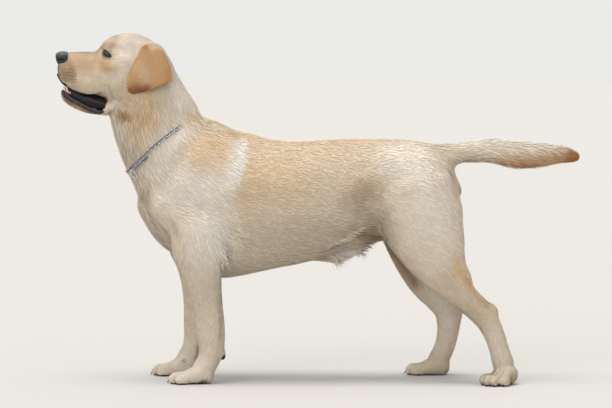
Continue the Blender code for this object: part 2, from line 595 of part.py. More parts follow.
def main():
    clear_scene()
    dog = new_collection("labrador")
    cutters = new_collection("cutters")
    paints = {name: paint(name, *values) for name, values in PIECES.items()}
    everywhere = ((-1, 0), (1, 0))
    body = whole_body(dog)

    # Level the soles, open the mouth, and make room for the nose and the eyes.
    boolean(body, prism("floor", [(-1, -1), (1, -1), (1, 0), (-1, 0)], *everywhere, cutters))
    boolean(body, prism("mouth", MOUTH, *everywhere, cutters))
    bm = bmesh.new()
    loft(bm, NOSE, square=2.8, caps=(0.004, 0.004), points=14, steps=2, cap_rings=3)
    nose = object_from(bm, "nose", dog, paints["nose"])
    boolean(body, swell(duplicate(nose, "nose_room", cutters), GAP))
    for word, side in SIDES.items():
        centre = (EYE_CENTRE[0], side * EYE_CENTRE[1], EYE_CENTRE[2])
        boolean(body, ball(f"socket_{word}", centre, EYE_RADIUS + GAP, cutters))
        ball(f"eye_{word}", centre, EYE_RADIUS, dog, paints[f"eye_{word}"])

    # Ears, cut to lie on the head rather than in it.
    room = swell(duplicate(body, "ear_room", cutters), GAP)
    for word, side in SIDES.items():
        keep_largest(boolean(add_ear(f"ear_{word}", side, dog, paints[f"ear_{word}"]), room))

    skin = BVHTree.FromObject(body, bpy.context.evaluated_depsgraph_get())
    chain = add_collar(skin, dog, paints["collar_chain"])
    add_ring(skin, dog, paints["collar_ring"])
    boolean(body, swell(duplicate(chain, "chain_room", cutters), GAP))

    # Part the body, from its ends inwards.
    head = part_off(body, "head", HEAD_ZONE, *everywhere, dog, cutters)
    jaw = part_off(head, "lower_jaw", JAW_ZONE, *everywhere, dog, cutters)
    bm = bmesh.new()
    add_teeth(bm)
    boolean(jaw, object_from(bm, "teeth", cutters), "UNION")
    bm = bmesh.new()
    loft(bm, TONGUE, square=2.4, points=14, steps=2, cap_rings=3)
    tongue = object_from(bm, "tongue", dog, paints["tongue"])
    keep_largest(boolean(tongue, prism("mouth_floor", MOUTH, *everywhere, cutters, grow=-GAP), "INTERSECT"))
    neck = part_off(body, "neck", NECK_ZONE, *everywhere, dog, cutters)
    tail = part_off(body, "tail", TAIL_ZONE, *everywhere, dog, cutters)
    pieces = [head, jaw, neck, tail]
    for word, side in SIDES.items():
        inside, outside = (side * ZONE_INSIDE, side * ZONE_SPREAD), (side * 0.5, 0)
        ends = (inside, outside) if side == RIGHT else (outside, inside)
        pieces.append(part_off(body, f"foreleg_{word}", FORELEG_ZONE, *ends, dog, cutters))
        pieces.append(part_off(body, f"hindleg_{word}", HINDLEG_ZONE, *ends, dog, cutters))
    body.name = "trunk"

    for piece in [*pieces, body]:
        piece.data.materials.clear()
        piece.data.materials.append(paints[piece.name])
    for cutter in cutters.objects:
        cutter.hide_render = True
        cutter.display_type = "WIRE"
    for obj in [*dog.objects, *cutters.objects]:
        obj.data.transform(Matrix.Translation(Vector(TO_ORIGIN) * SCALE))


main()
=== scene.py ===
"""The looks of the standing Labrador: its skin, its short coat in tufts, and its face, claws and chain.

Everything is worked out about the dog's own midplane, facing -X with its left side towards -Y and the floor
at Z = 0, and moved by TO_ORIGIN as it becomes a mesh. The tables of stations, forms, lines and markings are
in millimetres, and all else is in metres. A station on a path is (x, y, z, back, front, side): the middle of
the body there, and how far it reaches to its back edge, its front edge and either side. Paths run the way
the coat lies.
"""

import math

import bmesh
import bpy
import numpy as np
from mathutils import Matrix, Vector
from mathutils.bvhtree import BVHTree


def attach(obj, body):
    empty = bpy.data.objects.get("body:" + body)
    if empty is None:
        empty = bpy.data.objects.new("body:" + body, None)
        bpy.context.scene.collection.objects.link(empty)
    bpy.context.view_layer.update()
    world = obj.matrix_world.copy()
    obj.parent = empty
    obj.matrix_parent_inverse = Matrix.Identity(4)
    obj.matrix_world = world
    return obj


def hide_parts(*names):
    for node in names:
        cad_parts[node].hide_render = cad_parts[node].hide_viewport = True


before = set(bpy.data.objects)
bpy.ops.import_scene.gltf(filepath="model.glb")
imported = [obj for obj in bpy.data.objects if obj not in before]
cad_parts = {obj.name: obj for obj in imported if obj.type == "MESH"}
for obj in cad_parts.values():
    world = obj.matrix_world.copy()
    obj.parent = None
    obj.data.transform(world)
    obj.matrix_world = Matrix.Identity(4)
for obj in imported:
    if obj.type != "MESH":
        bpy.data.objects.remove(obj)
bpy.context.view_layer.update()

TO_ORIGIN = np.array([0.0018, 0.01425, 0.0])
ACROSS = np.array([0.0, 1.0, 0.0])
SIDES = {"left": -1, "right": 1}
MM = 0.001


def metres(values):
    """Numbers given in millimetres, in metres."""
    return np.array(values) / 1000


# ------------------------------ the dog's forms

TRUNK = metres([
    (-359, 0, 380, 50, 62, 60),
    (-334, 0, 393, 82, 112, 88),
    (-300, 0, 400, 125, 154, 106),
    (-250, 0, 405, 154, 178, 116),
    (-200, 0, 405, 151, 180, 120),
    (-150, 0, 405, 141, 171, 123),
    (-100, 0, 405, 127, 160, 124),
    (-50, 0, 405, 124, 150, 123),
    (0, 0, 407, 124, 137, 119),
    (50, 0, 412, 123, 123, 111),
    (100, 0, 420, 117, 119, 102),
    (150, 0, 430, 106, 120, 97),
    (200, 0, 435, 97, 115, 98),
    (240, 0, 428, 90, 92, 88),
    (262, 0, 408, 60, 60, 62),
])
NECK = metres([
    (-395, 0, 690, 70, 70, 52),
    (-384, 0, 639, 87, 86, 61),
    (-366, 0, 584, 96, 95, 68),
    (-341, 0, 526, 102, 102, 78),
    (-295, 0, 475, 125, 130, 92),
    (-240, 0, 430, 128, 130, 98),
])
TAIL = metres([
    (225, 0, 480, 32, 36, 30),
    (265, 0, 497, 27, 27, 26),
    (300, 0, 501, 25, 26, 25),
    (350, 0, 506, 26, 27, 25),
    (385, 0, 508, 28, 30, 26),
    (430, 0, 501, 31, 34, 27),
    (480, 0, 499, 29, 30, 25),
    (525, 0, 500, 24, 24, 20),
    (556, 0, 496.5, 19.5, 19, 16),
    (572, 0, 492.5, 15.5, 15, 12),
])
MUZZLE = metres([
    (-563, 0, 690, 36, 29, 22),
    (-542, 0, 685, 41, 40, 31),
    (-515, 0, 683, 43, 47, 35),
    (-490, 0, 682, 45, 53, 39),
    (-465, 0, 682, 50, 60, 47),
    (-430, 0, 685, 55, 60, 55),
])
JAW = metres([
    (-560, 0, 630, 12, 12, 15),
    (-545, 0, 617, 11, 12, 21),
    (-525, 0, 607, 11, 12, 26),
    (-505, 0, 600, 10, 11, 30),
    (-485, 0, 597, 10, 11, 34),
    (-465, 0, 599, 16, 14, 41),
    (-435, 0, 612, 30, 22, 48),
    (-405, 0, 628, 40, 34, 52),
])
FORELEG = metres([
    (-262, 98, 340, 52, 58, 36),
    (-262, 101, 292, 57, 60, 36),
    (-256, 100, 252, 46, 48, 33),
    (-249, 98, 205, 38, 38, 29),
    (-241, 96, 155, 34, 34, 25.5),
    (-237, 94, 115, 33, 33, 26.5),
    (-234, 92, 85, 29, 30, 25),
    (-238, 91, 58, 25, 26, 23.5),
    (-250, 90, 34, 24, 26, 26),
])
FORELEG_STEP = metres([-14, -15, -16, -20, -27, -32, -38, -43, -44])
HINDLEG_LEFT = metres([
    (205, 70, 425, 88, 78, 48),
    (222, 84, 352, 92, 88, 46),
    (247, 92, 288, 78, 66, 40),
    (285, 97, 230, 47, 47, 33),
    (318, 100, 192, 31, 32, 27),
    (348, 102, 164, 28, 29, 24.5),
    (370, 103, 139, 24, 27, 25),
    (385, 104, 111, 21.5, 25.5, 22.5),
    (396, 105, 77, 20.5, 24, 21),
    (404, 106, 47, 24, 25.5, 23.5),
])
HINDLEG_RIGHT = metres([
    (200, 70, 425, 88, 78, 48),
    (210, 84, 347, 92, 80, 46),
    (225, 92, 277, 78, 64, 40),
    (252, 97, 216, 50, 53, 33),
    (276, 100, 177, 38, 41, 27),
    (292, 101, 150, 33, 36, 25),
    (293, 102, 118, 27, 28, 24),
    (289, 103, 88, 24.5, 24, 22),
    (281, 104, 58, 24, 23, 22),
    (270, 104, 36, 23, 24, 24),
])
# A foot, from its heel pad forward: (ahead, z, sole, top, side).
FOOT = metres([
    (-8, 22, 24, 20, 24),
    (12, 21, 23, 20, 30),
    (30, 17, 19, 16, 30),
    (44, 13, 15, 11, 24),
])
# Each foot's heel, and the way that it points from there, in degrees outwards from straight ahead.
FEET = {
    ("front", "left"): ((-0.252, -0.091), 4),
    ("front", "right"): ((-0.296, 0.091), 4),
    ("hind", "left"): ((0.411, -0.102), 56),
    ("hind", "right"): ((0.272, 0.105), 6),
}
TOES = metres([(44, -25), (57, -8.5), (57, 8.5), (44, 25)])
TOE_SIZE = metres((20, 14.5, 10))
# How far apart the grooves between the toes are.
TOE_PITCH = 0.0170
# The grain that the forms are joined at, and the share of the body's faces kept after it.
VOXEL, KEPT_FACES = 0.0035, 0.28
# Round forms: (centre, the way its length runs, half length, half depth, half side), on both sides unless
# y is 0.
BELLIES = {
    "cranium": ((-405, 0, 675), (0.766, 0, -0.643), 100, 85, 63),
    "occiput": ((-366, 0, 692), (1, 0, -0.8), 44, 36, 34),
    "brow": ((-461, 24, 738), (1, 0.5, 0.7), 20, 14, 15),
    "cheekbone": ((-440, 40, 695), (1, 0.35, 0), 52, 32, 21),
    "cheek": ((-412, 44, 655), (1, 0, 0.5), 50, 42, 24),
    "ear_root": ((-364, 42, 718), (1, 0, -0.4), 34, 28, 25),
    "upper_lip": ((-520, 24, 656), (1, 0.25, -0.35), 46, 22, 14),
    "chin": ((-556, 0, 627), (1, 0, -0.4), 16, 10, 14),
    "shoulder_blade": ((-264, 66, 452), (-0.55, 0.16, -0.84), 104, 60, 44),
    "shoulder_point": ((-334, 58, 390), (0.5, 0.3, -0.8), 62, 46, 36),
    "upper_arm": ((-268, 86, 340), (0.72, 0.1, -0.7), 90, 56, 40),
    "elbow": ((-222, 104, 290), (0, 0, 1), 34, 20, 20),
    "breastbone": ((-349, 0, 346), (0.53, 0, -0.85), 76, 31, 44),
    "loin": ((90, 45, 470), (1, 0, 0), 120, 45, 42),
    "haunch": ((180, 52, 452), (1, 0, -0.3), 85, 62, 48),
    "thigh": ((215, 78, 375), (0.25, 0.1, -1), 115, 88, 46),
    "buttock": ((270, 52, 378), (0.10, 0, -1), 80, 44, 52),
    "sheath": ((30, 0, 284), (1, 0, 0.12), 70, 20, 20),
}
LEG_BELLIES = {
    "hock_left": ((379, -103, 163), (0.5, 0, -0.8), 20, 12.5, 12.5),
    "hock_right": ((320, 101, 163), (0.2, 0, -1), 20, 12.5, 12.5),
    "calf_left": ((296, -98, 245), (0.6, 0, -0.8), 55, 30, 28),
    "calf_right": ((268, 98, 235), (0.4, 0, -0.9), 55, 34, 28),
    "wrist_pad_left": ((-211, -93, 67), (0, 0, 1), 12, 9, 10),
    "wrist_pad_right": ((-251, 93, 67), (0, 0, 1), 12, 9, 10),
}
# Where the lips part, seen from the side.
MOUTH = metres([
    (-469, 601), (-477, 597.5), (-491, 600), (-508, 608), (-527, 617), (-547, 627),
    (-562, 640), (-600, 652), (-600, 668), (-572, 662), (-556, 650), (-547, 643),
    (-527, 636), (-509, 631), (-490, 625), (-476, 617), (-468, 609),
])
# The lips' edges, seen from the side, from the corner of the mouth forward: the upper lip's, and the lower
# one's crest.
UPPER_LIP = metres([
    (-470, 609), (-478, 617), (-490, 624.5), (-509, 630.5), (-527, 635.5), (-543, 641.5),
    (-556, 649.5), (-566, 659), (-572.5, 670),
])
LOWER_LIP = metres([
    (-470, 604), (-478, 598.5), (-491, 599), (-508, 606.5), (-527, 616), (-545, 625.5),
    (-556, 634), (-563, 640),
])
# An eyeball, and the almond between its lids: how far it opens from the eye's own axis, in degrees.
EYE = np.array([-0.4615, 0.0338, 0.7205])
EYE_RADIUS = 0.0125
EYE_AXIS = (-0.52, 0.85, 0.09)
EYE_SLOPE = -30
CORNEA = {"Coat_Weight": 0.55, "Coat_Roughness": 0.02}
LID_ACROSS, LID_UP, LID_DOWN = 66, 33, 27
# How far from the eyeball's middle the coat starts.
EYE_CLEAR = 0.0150
# An ear, from its fold to its tip: its front and rear edges seen from the side, and how far out it hangs.
EAR = metres([
    (-370, 742.5, -356, 741.5, 36),
    (-380, 742, -347, 731, 48),
    (-388, 733, -336.5, 718, 57),
    (-396.5, 715, -329, 701, 62),
    (-407.5, 694, -324.5, 688, 65),
    (-417, 673, -322.5, 675, 66),
    (-422.5, 653, -323, 664, 65),
    (-421.5, 639, -339, 655, 63),
    (-412, 632.5, -370, 642, 61),
])
# Lower teeth: (forward, out, up, half height, half width), the gum's line, and the stations of the tongue and
# of the near-black lining between the jaws, which is painted shade inside the mouth.
TEETH = metres([
    (-562, 1.8, 643, 6, 1.8), (-561.2, 5.4, 642.8, 6, 1.9),
    (-559, 8.8, 642.5, 6.2, 2), (-554, 12.5, 643, 9.5, 2.6),
])
GUM = metres([
    (-545, -15, 634), (-556, -10.5, 637.5), (-560.5, 0, 638.5), (-556, 10.5, 637.5), (-545, 15, 634),
])
TONGUE = metres([
    (-468, 0, 603, 16, 10, 26),
    (-500, 0, 608, 13, 12, 23),
    (-530, 0, 620, 8, 12, 18),
    (-546, 0, 629, 5, 10, 12),
])
MOUTH_SHADE_LINING = metres([
    (-462, 0, 607, 18, 10, 33),
    (-490, 0, 613, 24, 18, 29),
    (-515, 0, 620, 22, 18, 23),
    (-535, 0, 630, 18, 14, 18),
    (-550, 0, 638, 14, 10, 12),
])
NOSE = metres([
    (-575.2, 0, 710.5, 12.2, 13, 16.5),
    (-570, 0, 711.5, 14, 16, 20.5),
    (-562.5, 0, 713, 13.8, 16.5, 23.2),
    (-554, 0, 714, 11.5, 15, 22.5),
])
# The nostril's hollow, the slit that runs back from it and the groove between the two: ((x, |y|, z) points,
# width, depth).
NOSTRIL = [
    ([(-580, 7.5, 713), (-577.5, 9.5, 711)], 3.2, 6.0),
    ([(-578.5, 12.5, 709.5), (-572, 19.5, 707.2), (-562, 23, 708.2)], 1.7, 4.0),
    ([(-585, 0, 718), (-580, 0, 695)], 0.9, 1.2),
]
COLLAR_CENTRE = np.array([-0.339, 0.0, 0.527])
COLLAR_TILT = math.radians(39)
CHAIN_OUT, CHAIN_BEND, CHAIN_CLEAR, LINK_STEP = 0.0048, 0.0080, 0.0062, 0.0066
# Half the length and the width of a link and of the ring, and the radius of their wire.
LINK = (0.0055, 0.0037, 0.00115)
RING = (0.0095, 0.0095, 0.0017)
RING_PLACE = 0.578
# Longer, looser hair: (middle x, |y|, z, reach x, y, z, how much longer, how much higher, turned by x, by z,
# how far it hangs free).
FRINGES = [
    (-210, 105, 278, 14, 30, 20, 20, 4, 1.0, -0.35, 0.9),
    (430, 0, 472, 130, 30, 14, 11, 2, 0.3, -0.35, 0.35),
    (420, 0, 510, 140, 50, 30, 4, 1.5, 0, 0, 0.03),
    (565, 0, 492, 25, 30, 25, 4, 0.5, 0, 0, 0),
    (312, 70, 365, 25, 50, 80, 10, 2.5, 0.3, -0.6, 0.30),
    (318, 50, 410, 20, 40, 20, 8, 2, 0.4, -0.8, 0.25),
    (280, 35, 450, 20, 40, 30, 12, 3, 0.2, -0.6, 0.2),
    (25, 0, 272, 45, 30, 20, 14, 3, 0.5, -0.7, 0.45),
    (85, 10, 292, 24, 30, 20, 29, 2, 0.10, -1.2, 0.75),
    (28, 10, 275, 20, 30, 18, 20, 2, -0.10, -1.2, 0.8),
    (70, 60, 318, 45, 40, 16, 12, 3, 0.4, -0.7, 0.40),
    (-365, 0, 395, 30, 50, 60, 7, 2.0, 0.1, -0.5, 0.15),
    (-420, 0, 500, 30, 50, 60, 5, 1.5, 0.1, -0.5, 0.12),
    (-225, 0, 577, 60, 50, 20, 6, 1.5, 0, 0, 0.05),
    (120, 95, 345, 30, 30, 45, 6, 2.5, 0.4, -0.2, 0.1),
    (-190, 110, 320, 25, 40, 40, 8, 2.5, 0.4, -0.2, 0.1),
]

# ------------------------------ numpy helpers


def unit(v):
    """Each vector at a length of 1."""
    return v / np.maximum(np.linalg.norm(v, axis=-1, keepdims=True), 1e-12)


def dot(a, b):
    """The dot product of each pair of vectors, as a column."""
    return (a * b).sum(-1, keepdims=True)


def bell(x):
    """exp(-x^2)"""
    return np.exp(-(x**2))


def one_sided(points):
    """The points with those on the left mirrored to the right."""
    return points * [1, 0, 1] + np.abs(points) * [0, 1, 0]


def smooth_step(x, low, high):
    """0 below low, 1 above high, and 3t^2 - 2t^3 in between."""
    t = np.clip((x - low) / (high - low), 0, 1)
    return t * t * (3 - 2 * t)


def spline(rows, steps):
    """Rows in between the given ones, on a Catmull-Rom curve through them."""
    rows = np.asarray(rows, float)
    padded = np.vstack([2 * rows[0] - rows[1], rows, 2 * rows[-1] - rows[-2]])
    t = np.linspace(0, 1, steps, endpoint=False)[:, None]
    pieces = []
    for a, b, c, d in zip(padded, padded[1:], padded[2:], padded[3:]):
        curve = 2 * b + (c - a) * t + (2 * a - 5 * b + 4 * c - d) * t**2 + (3 * b - a - 3 * c + d) * t**3
        pieces.append(curve / 2)
    return np.vstack([*pieces, rows[-1:]])


def tube(stations, square=2.0, caps=(None, None), points=32, steps=6, cap_rings=5):
    """Rings along a path: at angle a, sgn(cos a)|cos a|^(2/square) of the side and as much of sin a of
    the back or front, from the path's middle. Past each end, rings shrink as cos t while they go on by
    length times sin t."""
    rows = spline(stations, steps)
    tangent = unit(np.gradient(rows[:, :3], axis=0))
    turns = np.linspace(0, math.pi / 2, cap_rings, endpoint=False)[1:]
    first, last = (given or rows[end, 3:].min() * 0.8 for end, given in ((0, caps[0]), (-1, caps[1])))
    centre = np.vstack([
        rows[0, :3] - first * np.sin(turns[::-1, None]) * tangent[0],
        rows[:, :3],
        rows[-1, :3] + last * np.sin(turns[:, None]) * tangent[-1],
    ])
    reach = np.vstack([
        rows[0, 3:] * np.cos(turns[::-1, None]), rows[:, 3:], rows[-1, 3:] * np.cos(turns[:, None])
    ])
    way = np.vstack([np.repeat(tangent[:1], len(turns), 0), tangent, np.repeat(tangent[-1:], len(turns), 0)])
    back = unit(np.cross(way, ACROSS))
    side = np.cross(back, way)
    angle = np.linspace(0, 2 * math.pi, points, endpoint=False)
    u = np.sign(np.cos(angle)) * np.abs(np.cos(angle)) ** (2 / square)
    v = np.sign(np.sin(angle)) * np.abs(np.sin(angle)) ** (2 / square)
    depth = np.where(v > 0, reach[:, :1], reach[:, 1:2])
    return (
        centre[:, None]
        + (v * depth)[..., None] * back[:, None]
        + (u * reach[:, 2:3])[..., None] * side[:, None]
    )


def ball(centre, way, half_length, half_depth, half_side, points=24, rings=16):
    """Rings of a stretched ball: centre + half_length cos t along its way, and sin t round the other two
    axes."""
    length_way = unit(np.asarray(way, float))
    depth_way = unit(np.cross(length_way, ACROSS))
    side_way = np.cross(depth_way, length_way)
    t = np.linspace(0, math.pi, rings + 1)[1:-1, None, None]
    a = np.linspace(0, 2 * math.pi, points, endpoint=False)[None, :, None]
    around = np.cos(a) * half_depth * depth_way + np.sin(a) * half_side * side_way
    return np.asarray(centre, float) - np.cos(t) * half_length * length_way + np.sin(t) * around


def shell(rings, poles=None):
    """(points, faces) of a closed surface: quads between the rings, and a fan to a pole at each end."""
    count, points, _ = rings.shape
    if poles is None:
        poles = (rings[0].mean(0), rings[-1].mean(0))
    verts = np.vstack([rings.reshape(-1, 3), np.asarray(poles)])
    i, j = np.meshgrid(np.arange(count - 1), np.arange(points), indexing="ij")
    k = (j + 1) % points
    quads = np.stack([i * points + j, i * points + k, (i + 1) * points + k, (i + 1) * points + j], -1)
    j = np.arange(points)
    k = (j + 1) % points
    top = (count - 1) * points
    fan = np.vstack([
        np.stack([k, j, np.full(points, count * points)], 1),
        np.stack([top + j, top + k, np.full(points, count * points + 1)], 1),
    ])
    return verts, [quads.reshape(-1, 4), fan]


def outward(points, groups):
    """A closed surface's faces turned to point out: all are reversed when the volume inside comes out
    negative."""
    volume = 0.0
    for group in groups:
        first = points[group[:, 0]]
        for corner in range(1, group.shape[1] - 1):
            spanned = np.cross(points[group[:, corner]], points[group[:, corner + 1]])
            volume += (first * spanned).sum()
    return points, groups if volume > 0 else [group[:, ::-1] for group in groups]


def closed(rings, poles=None):
    """The closed surface through the rings, with its faces pointing out."""
    return outward(*shell(rings, poles))


def sweep(path, high, wide, up=(0, 0, 1), points=12):
    """Rings of an oval along a path: cos a times wide across it and up, and sin a times high towards
    `up`."""
    path = np.asarray(path, float)
    way = unit(np.gradient(path, axis=0))
    side = unit(np.cross(way, np.asarray(up, float)))
    top = np.cross(side, way)
    a = np.linspace(0, 2 * math.pi, points, endpoint=False)[None, :, None]
    high, wide = (np.broadcast_to(value, len(path))[:, None, None] for value in (high, wide))
    return path[:, None] + np.cos(a) * wide * side[:, None] + np.sin(a) * high * top[:, None]


def hoops(centre, first, second, long, wide, wire, points=14, around=6):
    """Rings of wire, one per row of the arrays: its middle runs along centre + long cos t first + wide
    sin t second, and the wire goes round that at `wire` from it. Returns (points, faces) with both ways
    closed."""
    t = np.linspace(0, 2 * math.pi, points, endpoint=False)[None, :, None]
    a = np.linspace(0, 2 * math.pi, around, endpoint=False)[None, None, :, None]
    centre, first, second = (np.atleast_2d(value)[:, None] for value in (centre, first, second))
    middle = centre + long * np.cos(t) * first + wide * np.sin(t) * second
    out = unit(wide * np.cos(t) * first + long * np.sin(t) * second)
    over = np.cross(first, second) + 0 * out
    verts = middle[:, :, None] + wire * (np.cos(a) * out[:, :, None] + np.sin(a) * over[:, :, None])
    n, i, j = np.meshgrid(np.arange(len(verts)), np.arange(points), np.arange(around), indexing="ij")
    place = lambda i, j: (n * points + i % points) * around + j % around
    faces = np.stack([place(i, j), place(i + 1, j), place(i + 1, j + 1), place(i, j + 1)], -1).reshape(-1, 4)
    return outward(verts.reshape(-1, 3), [faces])


def joined(shells):
    """Several (points, faces) as one."""
    verts, faces, start = [], [], 0
    for points, groups in shells:
        verts.append(points)
        faces.extend(group + start for group in groups)
        start += len(points)
    return np.vstack(verts), faces


def mesh_object(name, verts, faces, shift=True):
    """A mesh object at the origin from whole arrays: points, and groups of faces with the same number of
    corners."""
    mesh = bpy.data.meshes.new(name)
    mesh.vertices.add(len(verts))
    mesh.vertices.foreach_set("co", (verts + (TO_ORIGIN if shift else 0)).astype(np.float32).ravel())
    corners = np.concatenate([group.ravel() for group in faces]).astype(np.int32)
    totals = np.concatenate([np.full(len(group), group.shape[1], np.int32) for group in faces])
    mesh.loops.add(len(corners))
    mesh.loops.foreach_set("vertex_index", corners)
    mesh.polygons.add(len(totals))
    mesh.polygons.foreach_set("loop_start", (np.cumsum(totals) - totals).astype(np.int32))
    mesh.polygons.foreach_set("loop_total", totals)
    mesh.polygons.foreach_set("use_smooth", np.full(len(totals), True))
    mesh.update(calc_edges=True)
    mesh.validate()
    obj = bpy.data.objects.new(name, mesh)
    bpy.context.scene.collection.objects.link(obj)
    return obj


def read(sequence, name):
    """A vector for each of a mesh's elements."""
    values = np.empty(len(sequence) * 3, np.float32)
    sequence.foreach_get(name, values)
    return values.reshape(-1, 3).astype(float)


def points_of(obj):
    """Where an object's vertices are."""
    return read(obj.data.vertices, "co")


def normals_of(obj):
    """The normals at an object's vertices."""
    return read(obj.data.vertex_normals, "vector")


def moved_to(obj, points):
    """Puts an object's vertices at the points."""
    obj.data.vertices.foreach_set("co", points.astype(np.float32).ravel())
    obj.data.update()


def write_colours(mesh, name, colours):
    """A colour for each point, kept as an attribute."""
    layer = mesh.color_attributes.new(name, "FLOAT_COLOR", "POINT")
    rgba = np.ones((len(colours), 4), np.float32)
    rgba[:, :3] = colours
    layer.data.foreach_set("color", rgba.ravel())


def applied(obj):
    """The same object with its modifiers made part of its mesh."""
    graph = bpy.context.evaluated_depsgraph_get()
    graph.update()
    mesh = bpy.data.meshes.new_from_object(obj.evaluated_get(graph))
    obj.modifiers.clear()
    obj.data = mesh
    return obj


def modify(obj, kind, **settings):
    """Adds a modifier."""
    modifier = obj.modifiers.new(kind.lower(), kind)
    for name, value in settings.items():
        setattr(modifier, name, value)


def discard(obj):
    """Takes an object out of the file."""
    bpy.data.objects.remove(obj)


def projected(points, onto):
    """The points moved to the nearest place on a surface."""
    obj = mesh_object("loose", points, [np.empty((0, 3), int)], shift=False)
    modify(obj, "SHRINKWRAP", target=onto, wrap_method="NEAREST_SURFACEPOINT", wrap_mode="ON_SURFACE")
    result = points_of(applied(obj))
    discard(obj)
    return result


def ripple(points, size, seed):
    """Smooth noise about -1 to 1: a sum of sines along random ways, each about `size` long."""
    rng = np.random.default_rng(seed)
    ways = unit(rng.normal(size=(10, 3))) * (2 * math.pi / size) * rng.uniform(0.6, 1.7, (10, 1))
    return np.sin(points @ ways.T + rng.uniform(0, 2 * math.pi, 10)).sum(1) / 3.2


# ------------------------------ the body's shape


def mirrored(stations, side):
    """The stations of the left or the right side."""
    return [(x, side * y, *rest) for x, y, *rest in stations]


LEGS = {
    ("front", "left"): mirrored(FORELEG, -1),
    ("front", "right"): [(row[0] + step, *row[1:]) for row, step in zip(FORELEG, FORELEG_STEP)],
    ("hind", "left"): mirrored(HINDLEG_LEFT, -1),
    ("hind", "right"): HINDLEG_RIGHT,
}


def foot_frame(key):
    """A foot's heel on the floor, the way it points, and the way across it."""
    (x, y), turn = FEET[key]
    angle = math.radians(turn)
    ahead = np.array([-math.cos(angle), SIDES[key[1]] * math.sin(angle), 0])
    return np.array([x, y, 0.0]), ahead, np.array([-ahead[1], ahead[0], 0])


def toe_middles(key):
    """The middle of each toe of a foot, and the way it points: fanned out, and down to its tip."""
    start, ahead, across = foot_frame(key)
    middles = [start + ahead * (run + 0.002) + across * off + [0, 0, 0.0125] for run, off in TOES]
    return zip(middles, [ahead + across * off * 6 + [0, 0, -0.28] for _, off in TOES])


def body_forms():
    """Every loft and round form of the body, as rings."""
    forms = [
        shell(tube(TRUNK, 2.15)),
        shell(tube(NECK)),
        shell(tube(TAIL, caps=(None, 0.0100))),
        shell(tube(MUZZLE, 2.5, (0.014, None))),
        shell(tube(JAW, 2.3)),
    ]
    for key, stations in LEGS.items():
        forms.append(shell(tube(stations)))
        start, ahead, _ = foot_frame(key)
        foot = [(*(start + ahead * run + [0, 0, z]), *rest) for run, z, *rest in FOOT]
        forms.append(shell(tube(foot, 2.3)))
        forms.extend(shell(ball(centre, way, *TOE_SIZE)) for centre, way in toe_middles(key))
    for centre, way, *sizes in BELLIES.values():
        for side in (-1, 1) if centre[1] else (1,):
            mirror = [1, side, 1]
            forms.append(shell(ball(metres(centre) * mirror, np.array(way) * mirror, *metres(sizes))))
    for centre, way, *sizes in LEG_BELLIES.values():
        forms.append(shell(ball(metres(centre), way, *metres(sizes))))
    return forms


def blended_body():
    """The forms joined into one skin by a Remesh, and smoothed most where muscles lie under it."""
    body = mesh_object("skin", *joined(body_forms()), shift=False)
    modify(body, "REMESH", mode="VOXEL", voxel_size=VOXEL)
    applied(body)
    x, _, z = points_of(body).T
    weight = np.clip((z - 0.27) / 0.08, 0, 1) * np.clip((x + 0.40) / 0.06, 0, 1)
    group_of(body, "muscled", weight)
    modify(body, "SMOOTH", factor=0.5, iterations=14)
    modify(body, "SMOOTH", factor=0.5, iterations=90, vertex_group="muscled")
    return applied(body)


def group_of(obj, name, weight):
    """Makes a vertex group from an array of weights, in steps of one twentieth."""
    group = obj.vertex_groups.new(name=name)
    levels = np.round(weight * 20).astype(int)
    for level in np.unique(levels[levels > 0]):
        group.add(np.flatnonzero(levels == level).tolist(), level / 20, "REPLACE")


def prism(outline, half_width):
    """A closed block with the outline seen from the side, from -half_width to half_width across the dog."""
    x, z = np.array(outline, float).T
    return shell(np.stack([np.stack([x, 0 * x + y, z], 1) for y in (-half_width, half_width)]))


def cut(obj, cutter_shell):
    """Takes a closed shape away from the object."""
    cutter = mesh_object("cutter", *cutter_shell, shift=False)
    bm = bmesh.new()
    bm.from_mesh(cutter.data)
    bmesh.ops.recalc_face_normals(bm, faces=bm.faces)
    bm.to_mesh(cutter.data)
    bm.free()
    modify(obj, "BOOLEAN", object=cutter, operation="DIFFERENCE", solver="EXACT")
    applied(obj)
    discard(cutter)


def refine(obj, chosen):
    """Halves the faces that `chosen` picks by their middles."""
    bm = bmesh.new()
    bm.from_mesh(obj.data)
    middles = read(obj.data.polygons, "center")
    picked = chosen(middles)
    bm.faces.ensure_lookup_table()
    edges = {edge for index in np.flatnonzero(picked) for edge in bm.faces[index].edges}
    bmesh.ops.subdivide_edges(bm, edges=list(edges), cuts=1, use_grid_fill=True)
    bmesh.ops.triangulate(bm, faces=[face for face in bm.faces if len(face.verts) > 4])
    bm.to_mesh(obj.data)
    bm.free()


def eye_frame(side):
    """The eyeball's middle, and its axes: out of the head, forward along the lids, and up across them."""
    out = unit(np.array(EYE_AXIS) * [1, side, 1])
    forward = unit(np.cross([0, 0, 1.0], out) * side)
    up = np.cross(out, forward) * side
    turn = math.radians(EYE_SLOPE)
    ahead = forward * math.cos(turn) - up * math.sin(turn)
    return EYE * [1, side, 1], out, ahead, up * math.cos(turn) + forward * math.sin(turn)


def lid_edge(turn):
    """How far the lids open at a turn about the eye's axis, in degrees. The edge is an almond, where
    1 / angle = ((|cos turn| / across)^1.7 + (|sin turn| / up or down)^1.7)^(1/1.7)."""
    tall = np.where(np.sin(turn) > 0, LID_UP, LID_DOWN)
    return ((np.abs(np.cos(turn)) / LID_ACROSS) ** 1.7 + (np.abs(np.sin(turn)) / tall) ** 1.7) ** (-1 / 1.7)


